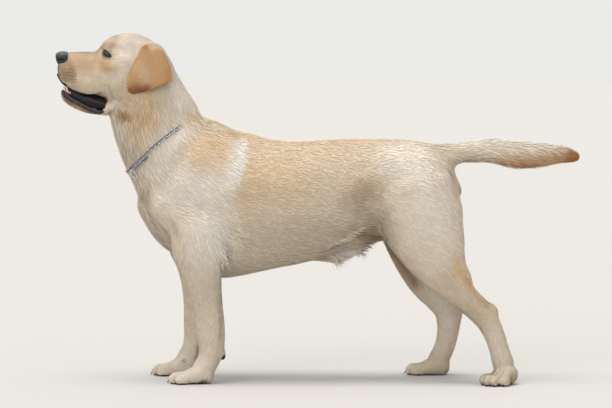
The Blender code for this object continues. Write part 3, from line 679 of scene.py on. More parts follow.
def about_eye(points, side):
    """Each point from the eyeball's middle: how far, at what angle from the eye's axis, how far past the
    lids' edge, and at what turn about the axis."""
    middle, out, ahead, up = eye_frame(side)
    away = points - middle
    far = np.linalg.norm(away, axis=1)
    turn = np.arctan2(dot(away, up)[:, 0], dot(away, ahead)[:, 0])
    angle = np.degrees(np.arccos((dot(away, out)[:, 0] / far).clip(-1, 1)))
    return far, angle, angle - lid_edge(turn), turn


def ways_about(slant, turn, axis, first, second):
    """Ways at a slant from an axis and a turn about it: cos s axis + sin s (cos t first + sin t second)."""
    slant, turn = slant[..., None], turn[..., None]
    around = np.cos(turn) * first + np.sin(turn) * second
    return np.cos(slant) * axis + np.sin(slant) * around


def with_lids(points):
    """The skin closed round each eyeball: within the lids it lies behind it, and from their edge it runs
    over it.

    Past the edge its distance from the eyeball's middle is the radius + 1.3 mm, with a lid of 1.2 mm
    times exp(-((past - 9) / 6)^2) and a fold of -0.4 mm times exp(-((past - 20) / 5)^2), and it goes over
    to the skin's own distance between 12 and 42 degrees. Points within 5 degrees of the edge move to 1
    degree from it.
    """
    points = points.copy()
    for side in (-1, 1):
        middle, *axes = eye_frame(side)
        far, angle, past, turn = about_eye(points, side)
        near = (far < 0.034) & (angle < 110)
        edge = angle - past
        snapped = np.where(np.abs(past) < 5, edge + np.where(past < 0, -1.0, 1.0), angle)
        past = snapped - edge
        lid = EYE_RADIUS + 0.0013 + 0.0012 * bell((past - 9) / 6) - 0.0004 * bell((past - 20) / 5)
        own = smooth_step(past, 12, 42)
        radius = np.where(past < 0, EYE_RADIUS - 0.0030, lid * (1 - own) + far * own)
        moved = middle + radius[:, None] * ways_about(np.radians(snapped), turn, *axes)
        points[near] = moved[near]
    return points


# Hollows and swellings of the skin, on both sides: (x, |y|, z, reach x, y, z, how far out).
SWELLINGS = [
    (-495, 0, 733, 14, 14, 14, -1.0),
    (-425, 0, 765, 50, 40, 30, 2.2),
    (-418, 40, 750, 45, 20, 18, 5.0),
    (-400, 55, 720, 40, 20, 30, 2.5),
    (-275, 0, 605, 22, 35, 30, 4.5),
    (318, 70, 350, 20, 50, 85, 3.0),
    (309, 0, 464, 18, 70, 18, -8.0),
    (317, 50, 428, 20, 40, 14, 2.5),
    (-452, 0, 765, 30, 8, 20, -1.2),
    (-466, 31, 739.5, 14, 12, 7, 2.4),
    (-474, 20, 733, 12, 11, 9, 1.8),
    (-486, 30, 708, 12, 12, 10, -1.8),
    (-455, 46, 695, 18, 14, 9, 1.8),
    (-490, 36, 690, 16, 14, 12, -1.4),
    (-425, 56, 725, 20, 16, 14, -1.6),
    (-548, 24, 674, 20, 16, 16, 2.0),
    (-520, 34, 648, 24, 14, 10, 1.2),
    (-480, 44, 633, 14, 14, 10, 1.6),
    (-462, 46, 612, 10, 14, 14, 1.6),
    (-560, 18, 700, 10, 10, 12, -1.4),
    (-562, 21, 662, 14, 12, 13, 3.0),
    (-578, 0, 672, 12, 22, 14, -4.0),
]
# Creases, seen from the side, on both sides: (points, width, depth, least |y|).
CREASES = [
    ([(-468, 650), (-459, 630), (-455, 612), (-460, 596)], 3.5, 1.6, 20),
    ([(-492, 704), (-482, 698), (-470, 695)], 2.5, 0.9, 20),
    ([(-452, 708), (-440, 702), (-425, 700)], 3.0, 0.8, 20),
    ([(-452, 592), (-430, 600), (-405, 612), (-380, 625)], 7.0, 1.8, 20),
    ([(-425, 570), (-400, 585), (-375, 610)], 6.0, 1.8, 20),
    ([(-412, 540), (-385, 560), (-360, 590)], 6.0, 1.6, 30),
    ([(-400, 500), (-370, 520), (-345, 545)], 6.0, 1.4, 30),
    ([(-240, 560), (-290, 510), (-335, 450), (-355, 410)], 12.0, 3.0, 30),
    ([(-345, 385), (-325, 350), (-305, 320)], 6.0, 4.0, 20),
    ([(-180, 360), (-188, 320), (-195, 290)], 8.0, 3.0, 60),
    ([(105, 300), (125, 335), (140, 370)], 9.0, 3.0, 40),
    ([(275, 262), (305, 225), (335, 192), (358, 168)], 4.5, 3.0, 80),
    ([(-224, 235), (-216, 180), (-213, 120), (-214, 85)], 4.0, 1.6, 60),
]


def from_line(spots, line):
    """How far spots are from a line of straight stretches, in the plane or in space."""
    nearest = np.full(len(spots), 1.0)
    for start, end in zip(np.array(line[:-1]), np.array(line[1:])):
        way = end - start
        t = (((spots - start) @ way) / (way @ way)).clip(0, 1)
        nearest = np.minimum(nearest, np.linalg.norm(spots - start - t[:, None] * way, axis=1))
    return nearest


def with_folds(points, normals):
    """The skin moved along its normals, out by the swellings, exp(-away^2) each, and in by the creases,
    exp(-(d / w)^2) each.

    A foot has three grooves between its toes, and the knuckles stand out by the cosine of the place
    across them.
    """
    move = np.zeros(len(points))
    for *where, out in SWELLINGS:
        place, reach = metres(where).reshape(2, 3)
        away = (one_sided(points) - place) / reach
        move += out * MM * np.exp(-(away**2).sum(1))
    for line, width, depth, least in CREASES:
        inside = smooth_step(np.abs(points[:, 1]), metres(least) - 0.01, metres(least))
        move -= depth * MM * inside * bell(from_line(points[:, [0, 2]], metres(line)) / (width * MM))
    for key in FEET:
        start, ahead, across = foot_frame(key)
        run, off = dot(points - start, ahead)[:, 0], dot(points - start, across)[:, 0]
        near = (points[:, 2] < 0.055) & (np.abs(off) < 0.05) & (run > -0.02) & (run < 0.09)
        toes = smooth_step(run, 0.016, 0.034) * near
        for middle in (-TOE_PITCH, 0.0, TOE_PITCH):
            bend = middle * (0.8 + run / 0.25)
            move -= 2.8 * MM * toes * bell((off - bend) / 0.0022)
        knuckle = bell((run - 0.036) / 0.011) * bell((points[:, 2] - 0.030) / 0.014)
        move += 0.25 * MM * near * knuckle * np.cos((off / TOE_PITCH - 0.5) * 2 * math.pi).clip(0)
    return points + normals * move[:, None]


def ear_shell(side):
    """One ear: rows of points from its front edge to its rear one and back, one row after another, fold
    to tip.

    Across a row, at s from -1 to 1, it lies out + bow (1 - s^2) from the midplane. On it are a ridge
    behind the front edge, a hollow down the middle, a lip along the tip and a rear corner that stands
    off, each exp(-away^2) or v^n.
    """
    rows = spline(EAR, 6)
    v = np.linspace(0, 1, len(rows))[:, None]
    angle = np.linspace(0, 2 * math.pi, 64, endpoint=False)[None]
    s, over = np.cos(angle), np.sign(np.sin(angle)) * np.abs(np.sin(angle)) ** 0.6
    front_x, front_z, rear_x, rear_z, out = rows.T[..., None]
    x = (front_x + rear_x) / 2 + s * (rear_x - front_x) / 2
    z = (front_z + rear_z) / 2 + s * (rear_z - front_z) / 2
    thick = (0.0024 - 0.0010 * v) * np.minimum(1, np.sin(np.pi * (0.06 + 0.94 * v).clip(0, 1)) * 4)
    bow = 0.0070 * np.sin(np.pi * (0.25 + 0.6 * v))
    wave = 0.0030 * bell((s + 0.70) / 0.20) * (1 - 0.7 * v)
    wave = wave - 0.0040 * bell((s + 0.15 - 0.5 * v) / 0.34) * np.sin(np.pi * v.clip(0, 1)) ** 1.5
    wave = wave + 0.0014 * bell((s - 0.62) / 0.22) + 0.0026 * v**8
    wave = wave + 0.0060 * smooth_step(s, 0.35, 1.0) * smooth_step(v, 0.55, 0.95)
    y = out + bow * (1 - s**2) + wave + thick * over - 0.004 * v**3 * (s < 0) * s**2
    return np.stack([x, side * y, z], -1)


# ------------------------------ the lie of the coat

# Paths that the coat lies along, with its depth, the tufts' length and their width at each station:
# (x, y, z, back, front, side, depth, length, width).
HEAD_LIE = [
    (-590, 0, 690, 30, 25, 20, 0.8, 5, 1.0),
    (-563, 0, 690, 36, 30, 24, 0.8, 6, 1.0),
    (-515, 0, 683, 43, 47, 35, 1.0, 7, 1.1),
    (-465, 0, 682, 50, 70, 47, 1.3, 9, 1.3),
    (-425, 0, 680, 85, 65, 62, 1.8, 12, 1.6),
    (-390, 0, 668, 90, 80, 66, 2.6, 15, 1.8),
    (-376, 0, 630, 90, 86, 63, 4.0, 20, 2.1),
    (-366, 0, 584, 96, 95, 68, 5.0, 24, 2.3),
    (-341, 0, 526, 102, 102, 78, 5.0, 25, 2.3),
    (-305, 0, 475, 120, 125, 90, 4.5, 23, 2.2),
    (-262, 0, 435, 125, 130, 98, 4.0, 21, 2.1),
]
TRUNK_LIE = [
    (-359, 0, 380, 50, 62, 60, 4.5, 22, 2.2),
    (-300, 0, 400, 125, 154, 106, 4.0, 20, 2.1),
    (-200, 0, 405, 151, 180, 120, 3.5, 19, 2.0),
    (-100, 0, 405, 127, 160, 124, 3.2, 18, 2.0),
    (0, 0, 407, 124, 137, 119, 3.2, 18, 2.0),
    (100, 0, 420, 117, 119, 102, 3.2, 18, 2.0),
    (200, 0, 435, 97, 115, 98, 3.5, 19, 2.1),
    (262, 0, 430, 80, 80, 80, 4.0, 22, 2.2),
]
TAIL_LIE = [
    (240, 0, 488, 30, 33, 30, 4.0, 20, 2.1),
    (300, 0, 501, 25, 26, 25, 4.5, 22, 2.1),
    (385, 0, 508, 28, 30, 26, 5.0, 24, 2.2),
    (480, 0, 499, 29, 30, 25, 5.0, 24, 2.2),
    (556, 0, 493, 17, 15, 13, 4.0, 20, 2.0),
    (590, 0, 484, 10, 9, 9, 3.0, 16, 1.8),
]


# How much of the paths' depths and widths the coat takes.
COAT_DEPTH, TUFT_WIDTH = 0.65, 0.70


def leg_lie(key):
    """A leg's path, from its second station down, and on over the foot."""
    rows = np.array(LEGS[key], float)[1:]
    start, ahead, _ = foot_frame(key)
    coat = [
        np.interp(rows[:, 2], [0.05, 0.16, 0.26, 0.34], values)
        for values in ([1.5, 2.0, 2.8, 3.5], [9, 12, 16, 18], [1.5, 1.7, 1.9, 2.0])
    ]
    foot = [
        (*(start + ahead * run + [0, 0, z]), 0.024, 0.024, 0.028, 1.3, 7, 1.4)
        for run, z in ((0.010, 0.024), (0.035, 0.016), (0.065, 0.006))
    ]
    return np.vstack([np.column_stack([rows, *coat]), foot])


def lie_paths():
    """Every path that the coat lies along: its places in metres, and its coat in millimetres."""
    paths = {}
    for name, rows in (("head", HEAD_LIE), ("trunk", TRUNK_LIE), ("tail", TAIL_LIE)):
        rows = np.array(rows, float)
        paths[name] = np.column_stack([rows[:, :6] / 1000, rows[:, 6:]])
    paths.update({"_".join(key): leg_lie(key) for key in LEGS})
    return paths


class Lie:
    """Where points are along the coat's paths.

    For each path, the nearest of its samples gives the place along it, from 0 to 1, the turn about it,
    and how far out the point is in units of the body's reach there. A path's share at a point falls off
    with that distance.
    """

    def __init__(self, points):
        self.points = points
        self.share, self.along, self.turn, self.way, self.coat = {}, {}, {}, {}, {}
        for name, rows in lie_paths().items():
            samples = spline(rows, 8)
            tangent = unit(np.gradient(samples[:, :3], axis=0))
            nearest = np.concatenate([
                ((block[:, None] - samples[None, :, :3]) ** 2).sum(-1).argmin(1)
                for block in np.array_split(points, len(points) // 20000 + 1)
            ])
            way = tangent[nearest]
            offset = points - samples[nearest, :3]
            back = unit(np.cross(way, ACROSS))
            side = np.cross(back, way)
            up, out = dot(offset, back)[:, 0], dot(offset, side)[:, 0]
            reach = np.where(up > 0, samples[nearest, 3], samples[nearest, 4])
            ratio = np.sqrt((up / reach) ** 2 + (out / samples[nearest, 5]) ** 2)
            ends = dot(offset, way)[:, 0]
            over = np.where(nearest == 0, -ends, np.where(nearest == len(samples) - 1, ends, 0)).clip(0)
            ratio = np.sqrt(ratio**2 + (over / reach) ** 2)
            self.share[name] = bell((ratio.clip(0.9) - 0.9) / 0.22) + 1e-9
            self.along[name] = nearest / (len(samples) - 1)
            self.turn[name] = np.arctan2(out, up)
            self.way[name] = way
            self.coat[name] = samples[nearest, 6:] * MM * (COAT_DEPTH, 1, TUFT_WIDTH)
        total = sum(self.share.values())
        for name in self.share:
            self.share[name] = self.share[name] / total
        self.depth, self.length, self.width = sum(
            self.share[name][:, None] * self.coat[name] for name in self.share
        ).T

    def direction(self, normals):
        """The way the coat lies at each point, along the skin."""
        x, y, z = self.points.T
        side = np.sign(y)
        way = sum(self.share[name][:, None] * self.way[name] for name in self.share)
        trunk = self.share["trunk"]
        # On the ribs and the flank the coat sweeps down as it goes back, and under the belly inwards.
        way[:, 2] -= trunk * (0.32 * smooth_step(np.abs(y), 0.03, 0.10) + 0.25 * smooth_step(-x, 0.10, 0.26))
        under = trunk * smooth_step(0.36 - z, 0.0, 0.10)
        way[:, 1] -= side * 0.35 * under * smooth_step(np.abs(y), 0.0, 0.05)
        # The head's coat runs out and down over the cheeks, and up over the brows.
        head = self.share["head"] * smooth_step(-x, 0.36, 0.42)
        way[:, 2] -= head * 0.45 * smooth_step(np.abs(y), 0.028, 0.060) * smooth_step(0.72 - z, 0, 0.05)
        # Over the haunches and the thighs it sweeps back, and down the sides of the tail to its underside.
        haunch = (self.share["hind_left"] + self.share["hind_right"]) * smooth_step(z, 0.20, 0.34)
        way[:, 0] += 1.3 * haunch
        way[:, 2] -= 0.45 * self.share["tail"] * smooth_step(x, 0.30, 0.40)
        # It wanders a little, in broad locks on the trunk and in narrow ones all over.
        for share, across, up in ((trunk[:, None], (0.16, 3), (0.14, 4)), (1.0, (0.05, 5), (0.045, 6))):
            locks = [0 * x, ripple(self.points, *across), ripple(self.points, *up)]
            way += share * 0.10 * np.stack(locks, 1)
        way = way - dot(way, normals) * normals
        return unit(way)


# ------------------------------ markings

WHITE = (0.87, 0.81, 0.73)
PALE = (0.79, 0.70, 0.60)
CREAM = (0.72, 0.61, 0.47)
BUFF = (0.68, 0.51, 0.33)
GOLD = (0.66, 0.44, 0.24)
BRIGHT = (0.80, 0.60, 0.40)
GINGER = (0.52, 0.27, 0.10)
DEEP = (0.30, 0.12, 0.045)
GREY = (0.46, 0.38, 0.28)
TAN = (0.45, 0.34, 0.22)
BROWN = (0.30, 0.19, 0.10)
CHIN = (0.27, 0.12, 0.06)
BLACK = (0.020, 0.014, 0.012)
RUST = (0.42, 0.22, 0.09)
IVORY = (0.99, 0.86, 0.68)
UMBER = (0.22, 0.07, 0.02)

# Markings, painted one over the other: (middle x, |y|, z, reach x, y, z, tilt in degrees, colour, strength,
# and the share of it that is a soft edge where that isn't 0.9). The tilt turns it up towards the tail.
MARKINGS = [
    # Back, ribs and loin.
    (-20, 0, 535, 280, 200, 85, 2, BRIGHT, 0.75, 0.8),
    (-80, 120, 440, 130, 100, 80, 0, BUFF, 0.75, 0.8),
    (-110, 120, 480, 100, 100, 60, 0, BRIGHT, 0.55, 0.8),
    (-145, 120, 420, 35, 100, 90, 0, GOLD, 0.35, 0.8),
    (110, 120, 440, 100, 100, 50, 0, BUFF, 0.45),
    # Painted shade on the flank in front of the thigh.
    (98, 120, 415, 60, 100, 38, 28, TAN, 0.95),
    (-200, 0, 565, 120, 90, 35, -18, BRIGHT, 0.60, 0.8),
    (-185, 40, 540, 30, 50, 10, -10, GOLD, 0.80),
    # Belly and flank; the grey and the brown marks are painted shade under the belly, on the low flank and in
    # the groin.
    (-20, 100, 330, 200, 200, 60, 6, GREY, 0.45),
    (125, 100, 355, 55, 80, 75, 30, GREY, 0.85),
    (100, 90, 320, 60, 80, 40, 10, BROWN, 0.50),
    (0, 0, 280, 60, 50, 30, 0, GINGER, 0.35),
    (70, 0, 282, 55, 50, 22, 10, WHITE, 0.85),
    (120, 30, 312, 30, 70, 16, 0, BROWN, 0.70),
    # Shoulder.
    (-300, 110, 420, 90, 120, 75, 0, WHITE, 0.55),
    (-240, 120, 430, 60, 120, 60, 0, WHITE, 0.55),
    (-240, 100, 500, 62, 80, 48, 40, GOLD, 0.55),
    (-250, 100, 525, 70, 80, 36, -25, BRIGHT, 0.70),
    (-228, 100, 520, 34, 80, 22, -20, GOLD, 0.45),
    # Neck.
    (-300, 0, 620, 40, 60, 120, 26, WHITE, 0.90, 0.8),
    (-385, 60, 595, 50, 60, 60, 0, GOLD, 0.70),
    (-428, 50, 582, 22, 50, 18, 10, GINGER, 0.45),
    (-428, 50, 582, 18, 50, 16, 10, BROWN, 0.60),
    (-400, 60, 535, 18, 50, 60, 10, GOLD, 0.40),
    (-310, 70, 620, 30, 60, 50, 10, PALE, 0.65),
    (-270, 50, 575, 30, 50, 20, -25, GOLD, 0.55),
    (-318, 70, 530, 70, 60, 30, 40, WHITE, 0.85),
    # Painted shade on the front of the chest.
    (-375, 50, 402, 18, 50, 30, -10, TAN, 0.75),
    (-355, 50, 340, 35, 50, 30, -10, PALE, 0.60),
    (-415, 40, 500, 30, 60, 60, 0, GREY, 0.35),
    (-382, 60, 570, 30, 60, 35, 0, RUST, 0.26),
    (-429, 50, 581, 18, 50, 14, 10, RUST, 0.35),
    # Painted highlight: the warm rim of light along the crest of the neck.
    (-300, 0, 622, 30, 50, 60, 26, IVORY, 0.70),
    (-350, 60, 470, 30, 60, 30, 0, WHITE, 0.45),
    # Head.
    (-415, 0, 765, 70, 70, 30, -8, PALE, 0.75, 0.8),
    (-425, 60, 722, 30, 50, 28, 0, PALE, 0.60),
    (-456, 0, 750, 32, 50, 26, -30, GOLD, 0.90),
    (-432, 50, 690, 16, 50, 20, 0, PALE, 0.70),
    (-430, 50, 648, 30, 50, 28, 0, TAN, 0.65),
    (-463, 30, 743, 13, 20, 7, 10, GINGER, 0.65),
    (-480, 0, 735, 20, 30, 16, 45, BUFF, 0.80),
    (-520, 30, 702, 52, 40, 34, 0, GOLD, 0.75),
    (-520, 0, 726, 65, 30, 20, 0, TAN, 0.85, 0.8),
    (-530, 30, 655, 34, 40, 18, 20, TAN, 0.60),
    (-466, 40, 700, 30, 40, 20, 0, GOLD, 0.60),
    (-468, 40, 700, 22, 40, 30, 0, GOLD, 0.60),
    (-450, 50, 688, 18, 40, 12, 0, GOLD, 0.40),
    (-552, 30, 698, 16, 40, 22, 0, BROWN, 0.50),
    (-552, 30, 674, 28, 40, 28, 0, TAN, 0.85),
    (-554, 20, 680, 24, 40, 26, 0, BROWN, 0.60),
    (-576, 0, 684, 13, 30, 30, 0, BROWN, 0.80),
    # Painted shade over the eye, under the brow.
    (-466, 30, 724, 18, 30, 14, -20, BROWN, 0.40),
    (-365, 50, 734, 28, 40, 16, -10, GOLD, 0.55),
    (-500, 40, 652, 35, 40, 16, 25, BUFF, 0.35),
    (-548, 0, 618, 22, 40, 16, 35, DEEP, 0.75),
    (-505, 0, 594, 40, 50, 10, 12, GINGER, 0.60),
    (-452, 30, 739, 20, 40, 13, -20, RUST, 0.35),
    (-463, 40, 690, 20, 40, 14, 0, RUST, 0.38),
    (-512, 20, 702, 45, 50, 18, 0, RUST, 0.24),
    (-508, 0, 725, 50, 50, 12, 0, RUST, 0.40),
    (-541, 30, 676, 18, 40, 18, 0, BROWN, 0.30),
    (-500, 40, 648, 35, 50, 18, 20, TAN, 0.30),
    # Tail.
    (390, 0, 530, 180, 50, 30, 0, WHITE, 0.60),
    (440, 0, 472, 140, 50, 30, 6, GINGER, 0.85),
    (450, 0, 462, 120, 50, 20, 6, DEEP, 0.50),
    (560, 0, 488, 70, 40, 30, 0, GINGER, 0.95),
    (575, 0, 488, 40, 40, 40, 0, DEEP, 0.60),
    (565, 0, 488, 40, 40, 30, 0, (0.40, 0.09, 0.015), 0.35),
    (270, 0, 495, 50, 50, 30, 0, BRIGHT, 0.50),
    (285, 0, 492, 30, 50, 18, 0, IVORY, 0.55),
    (385, 0, 506, 70, 50, 16, 0, IVORY, 0.40),
    # Hindquarters.
    (200, 80, 480, 90, 120, 70, -20, WHITE, 0.70),
    (200, 80, 500, 60, 100, 35, -20, IVORY, 0.55),
    (280, 100, 222, 35, 90, 40, -30, RUST, 0.30),
    (312, 100, 250, 22, 90, 30, -30, GINGER, 0.28),
    (-280, 120, 350, 50, 120, 50, 0, GREY, 0.16),
    (240, 120, 370, 80, 90, 110, 0, WHITE, 0.45),
    (280, 90, 310, 40, 90, 60, 0, PALE, 0.30),
    (-230, 120, 320, 65, 80, 90, 0, WHITE, 0.85),
    (345, 110, 160, 70, 80, 70, -40, TAN, 0.60),
    # Feet.
    (-280, 90, 10, 80, 80, 70, 0, WHITE, 0.50),
    (320, 110, 10, 140, 100, 50, 0, GREY, 0.60),
    (350, 110, 90, 90, 100, 60, 0, PALE, 0.40),
    (-255, 100, 180, 60, 80, 160, 0, PALE, 0.30),
    (-255, 100, 190, 50, 80, 90, 0, TAN, 0.24),
    (390, 110, 45, 60, 100, 70, 0, GREY, 0.22),
]


EAR_BASE = (0.54, 0.325, 0.16)
EAR_MARKINGS = [
    (-350, 50, 722, 40, 60, 26, -30, GINGER, 0.35),
    (-382, 70, 680, 24, 60, 32, 20, BUFF, 0.50),
    # Painted shade in the fold at the top of the ear.
    (-380, 50, 737, 11, 60, 7, 20, DEEP, 0.80),
    (-404, 70, 705, 50, 60, 6, 64, GINGER, 0.80),
    (-330, 70, 672, 10, 60, 30, -10, GINGER, 0.70),
    (-404, 70, 645, 40, 60, 26, 0, GINGER, 0.80),
    (-350, 70, 652, 55, 60, 15, 20, GINGER, 0.95),
    (-400, 70, 640, 56, 60, 22, 8, DEEP, 0.95),
    (-390, 70, 643, 40, 60, 12, 12, UMBER, 0.75),
    (-402, 70, 670, 16, 60, 30, 0, GINGER, 0.25),
]


def mixed_in(colour, amount, paint):
    """The colours moved by an amount each towards a paint."""
    return colour + amount[:, None] * (np.asarray(paint) - colour)


def painted(points, base, markings=MARKINGS):
    """The base colour with each marking mixed in, by how far inside its tilted ellipsoid a point is."""
    colour = np.tile(np.asarray(base, float), (len(points), 1))
    wobble = ripple(points, 0.03, 11) * 0.10
    for *where, tilt, paint, strength, edge in (row if len(row) > 9 else (*row, 0.9) for row in markings):
        place, (reach_x, reach_y, reach_z) = metres(where).reshape(2, 3)
        turn = math.radians(tilt)
        dx, dy, dz = (one_sided(points) - place).T
        along = dx * math.cos(turn) + dz * math.sin(turn)
        up = dz * math.cos(turn) - dx * math.sin(turn)
        away = np.sqrt((along / reach_x) ** 2 + (dy / reach_y) ** 2 + (up / reach_z) ** 2) + wobble * edge
        colour = mixed_in(colour, strength * (1 - smooth_step(away, 1 - edge, 1 + edge * 0.3)), paint)
    return colour


# Thin markings, seen from the side: (points, width, colour, strength, on the left, on the right).
STREAKS = [
    ([(297, 275), (312, 242), (327, 212)], 18, GOLD, 0.75, 1, 0),
    ([(322, 232), (336, 204), (355, 182), (372, 168)], 6.5, GINGER, 0.60, 1, 0),
    ([(298, 255), (306, 220), (312, 180)], 8, GOLD, 0.60, 0, 1),
    # Painted shade in the fold of the near hock.
    ([(356, 126), (360, 114)], 3, BROWN, 0.7, 1, 0),
    # Painted shade on the inner side of the far thigh, where the body shadows it.
    ([(160, 300), (190, 255), (218, 209)], 36, BROWN, 0.74, 0, 1),
    ([(160, 300), (190, 255), (218, 209)], 14, BROWN, 0.60, 0, 1),
    ([(20, 296), (58, 314), (98, 339)], 9, WHITE, 0.70, 1, 1),
    # Painted shade in the groin, beside the sheath's hair.
    ([(12, 287), (50, 303), (98, 328)], 5, BROWN, 0.70, 1, 1),
    ([(100, 330), (125, 322), (146, 312)], 13, BROWN, 0.75, 1, 1),
    ([(316, 127), (300, 80), (284, 37)], 6, BUFF, 0.70, 0, 1),
    ([(262, 190), (290, 120)], 30, WHITE, 0.40, 0, 1),
    # More painted shade on the far thigh.
    ([(170, 275), (200, 235)], 34, RUST, 0.45, 0, 1),
    # Painted shade in the crease down the back of the near foreleg.
    ([(-214, 262), (-214, 180), (-215, 100)], 6, GREY, 0.75, 1, 0),
    ([(-228, 262), (-235, 180), (-248, 100)], 6, GOLD, 0.65, 0, 1),
    ([(-307, 32), (-295, 31)], 5, BROWN, 0.9, 0, 1),
    # Painted shade on the rear of the far foreleg.
    ([(-266, 78), (-270, 55), (-276, 30)], 8, BROWN, 0.65, 0, 1),
    ([(-259, 2), (-247, 6)], 8, BLACK, 0.9, 1, 0),
    ([(-370, 634), (-364, 600), (-357, 556)], 8, GOLD, 0.80, 1, 1),
    ([(-437, 590), (-424, 582), (-412, 574)], 10, BROWN, 0.55, 1, 1),
    ([(-405, 600), (-388, 590)], 8, BUFF, 0.5, 1, 1),
    ([(-398, 560), (-392, 520)], 8, GOLD, 0.35, 1, 1),
    ([(-372, 552), (-350, 520)], 8, GOLD, 0.30, 1, 1),
    # Painted shade in the fold between the front of the foreleg and the chest.
    ([(-369, 367), (-345, 320), (-324, 271)], 8, BROWN, 0.40, 1, 1),
    ([(290, 462), (296, 440)], 3.5, BROWN, 0.60, 1, 1),
    ([(284, 464), (288, 432)], 5, WHITE, 0.70, 1, 1),
    ([(-394.5, 748), (-399, 722)], 6, WHITE, 0.80, 1, 1),
    ([(-376, 738), (-366, 737)], 5, GINGER, 0.75, 1, 1),
    # Painted shadow: a thin line beside the ear's front edge.
    ([(-428.6, 664), (-428, 645)], 3.5, BROWN, 0.50, 1, 1),
    # Painted shadow on the neck under the ear's rear corner, where it stands off.
    ([(-342, 653), (-327, 660)], 4.5, DEEP, 0.75, 1, 1),
    ([(-576, 700), (-570, 690), (-562, 694)], 9, BROWN, 0.60, 1, 1),
    ([(-564, 632), (-550, 618), (-527, 606), (-505, 597), (-485, 590)], 14, CHIN, 0.85, 1, 1),
    ([(-567, 634), (-547, 622.5), (-527, 613.5), (-508, 604), (-491, 596.5), (-478, 596)], 8, BLACK,
     0.97, 1, 1),
]
# The whiskers' roots, seen from the side: rows of (first x, last x, z, how many).
WHISKER_ROWS = [
    (-560, -537, 689, 4), (-564, -534, 682.5, 6), (-566, -532, 675.5, 6), (-563, -532, 668.5, 6),
    (-556, -534, 662.5, 4),
]


def whisker_roots():
    """The whiskers' roots, each up to 1.6 mm off its place in its row."""
    rows = []
    for *where, count in WHISKER_ROWS:
        first, last, z = metres(where)
        rows.append(np.column_stack([np.linspace(first, last, count), z - 0.004 * np.linspace(0, 1, count)]))
    rows = np.vstack(rows)
    return rows + np.random.default_rng(40).uniform(-1.6, 1.6, rows.shape) * MM


def coat_colour(points):
    """Cream with the markings, the white band behind the shoulder, the streaks and the whiskers' spots
    over it."""
    colour = painted(points, CREAM)
    x, y, z = points.T
    wave = 0.006 * ripple(points, 0.025, 12)
    front = np.interp(z, [0.420, 0.460, 0.507, 0.535], [-0.218, -0.203, -0.188, -0.172]) + wave
    rear = np.interp(z, [0.425, 0.437, 0.487, 0.530], [-0.178, -0.170, -0.154, -0.156]) + wave * 0.3
    band = smooth_step(x, front - 0.012, front + 0.018) * smooth_step(rear - x, -0.003, 0.006)
    band *= smooth_step(z, 0.395, 0.450) * smooth_step(0.545 - z, 0, 0.018)
    band *= smooth_step(np.abs(y), 0.03, 0.06)
    colour = mixed_in(colour, band * np.where(y < 0, 0.95, 0.45), WHITE)
    shaken = np.stack([ripple(points, 0.012, 13), ripple(points, 0.012, 14)], 1)
    side_view = points[:, [0, 2]] + 0.0022 * shaken
    for line, width, paint, strength, left, right in STREAKS:
        amount = strength * np.where(y < 0, left, right)
        amount = amount * (1 - smooth_step(from_line(side_view, metres(line)), 0, 0.85 * width * MM))
        colour = mixed_in(colour, amount, paint)
    near = (x < -0.52) & (z > 0.64) & (z < 0.70)
    spots = points[near][:, None, [0, 2]] - whisker_roots()[None]
    dark = 0.85 * np.exp(-((spots**2).sum(-1).min(1) / 0.0015**2))
    colour[near] = mixed_in(colour[near], dark, np.array(DEEP) * 0.4)
    return colour


# ------------------------------ tufts

def coat_roots(skin, count, density, seed):
    """Random places over the skin's triangles, as many per area as the density asks for: (points,
    normals)."""
    mesh = skin.data
    mesh.calc_loop_triangles()
    verts, normals = points_of(skin), normals_of(skin)
    tris = np.empty(len(mesh.loop_triangles) * 3, np.int32)
    mesh.loop_triangles.foreach_get("vertices", tris)
    tris = tris.reshape(-1, 3)
    a, b, c = verts[tris[:, 0]], verts[tris[:, 1]], verts[tris[:, 2]]
    area = np.linalg.norm(np.cross(b - a, c - a), axis=1) / 2
    weight = np.cumsum(area * density((a + b + c) / 3))
    rng = np.random.default_rng(seed)
    spots = (np.arange(count) + rng.uniform(0, 1, count)) / count * weight[-1]
    face = np.searchsorted(weight, spots).clip(0, len(tris) - 1)
    u, v = rng.uniform(0, 1, (2, count, 1))
    flip = u + v > 1
    u, v = np.where(flip, 1 - u, u), np.where(flip, 1 - v, v)
    corners = tris[face]
    places = verts[corners[:, 0]] * (1 - u - v) + verts[corners[:, 1]] * u + verts[corners[:, 2]] * v
    ups = normals[corners[:, 0]] * (1 - u - v) + normals[corners[:, 1]] * u + normals[corners[:, 2]] * v
    return places, unit(ups)


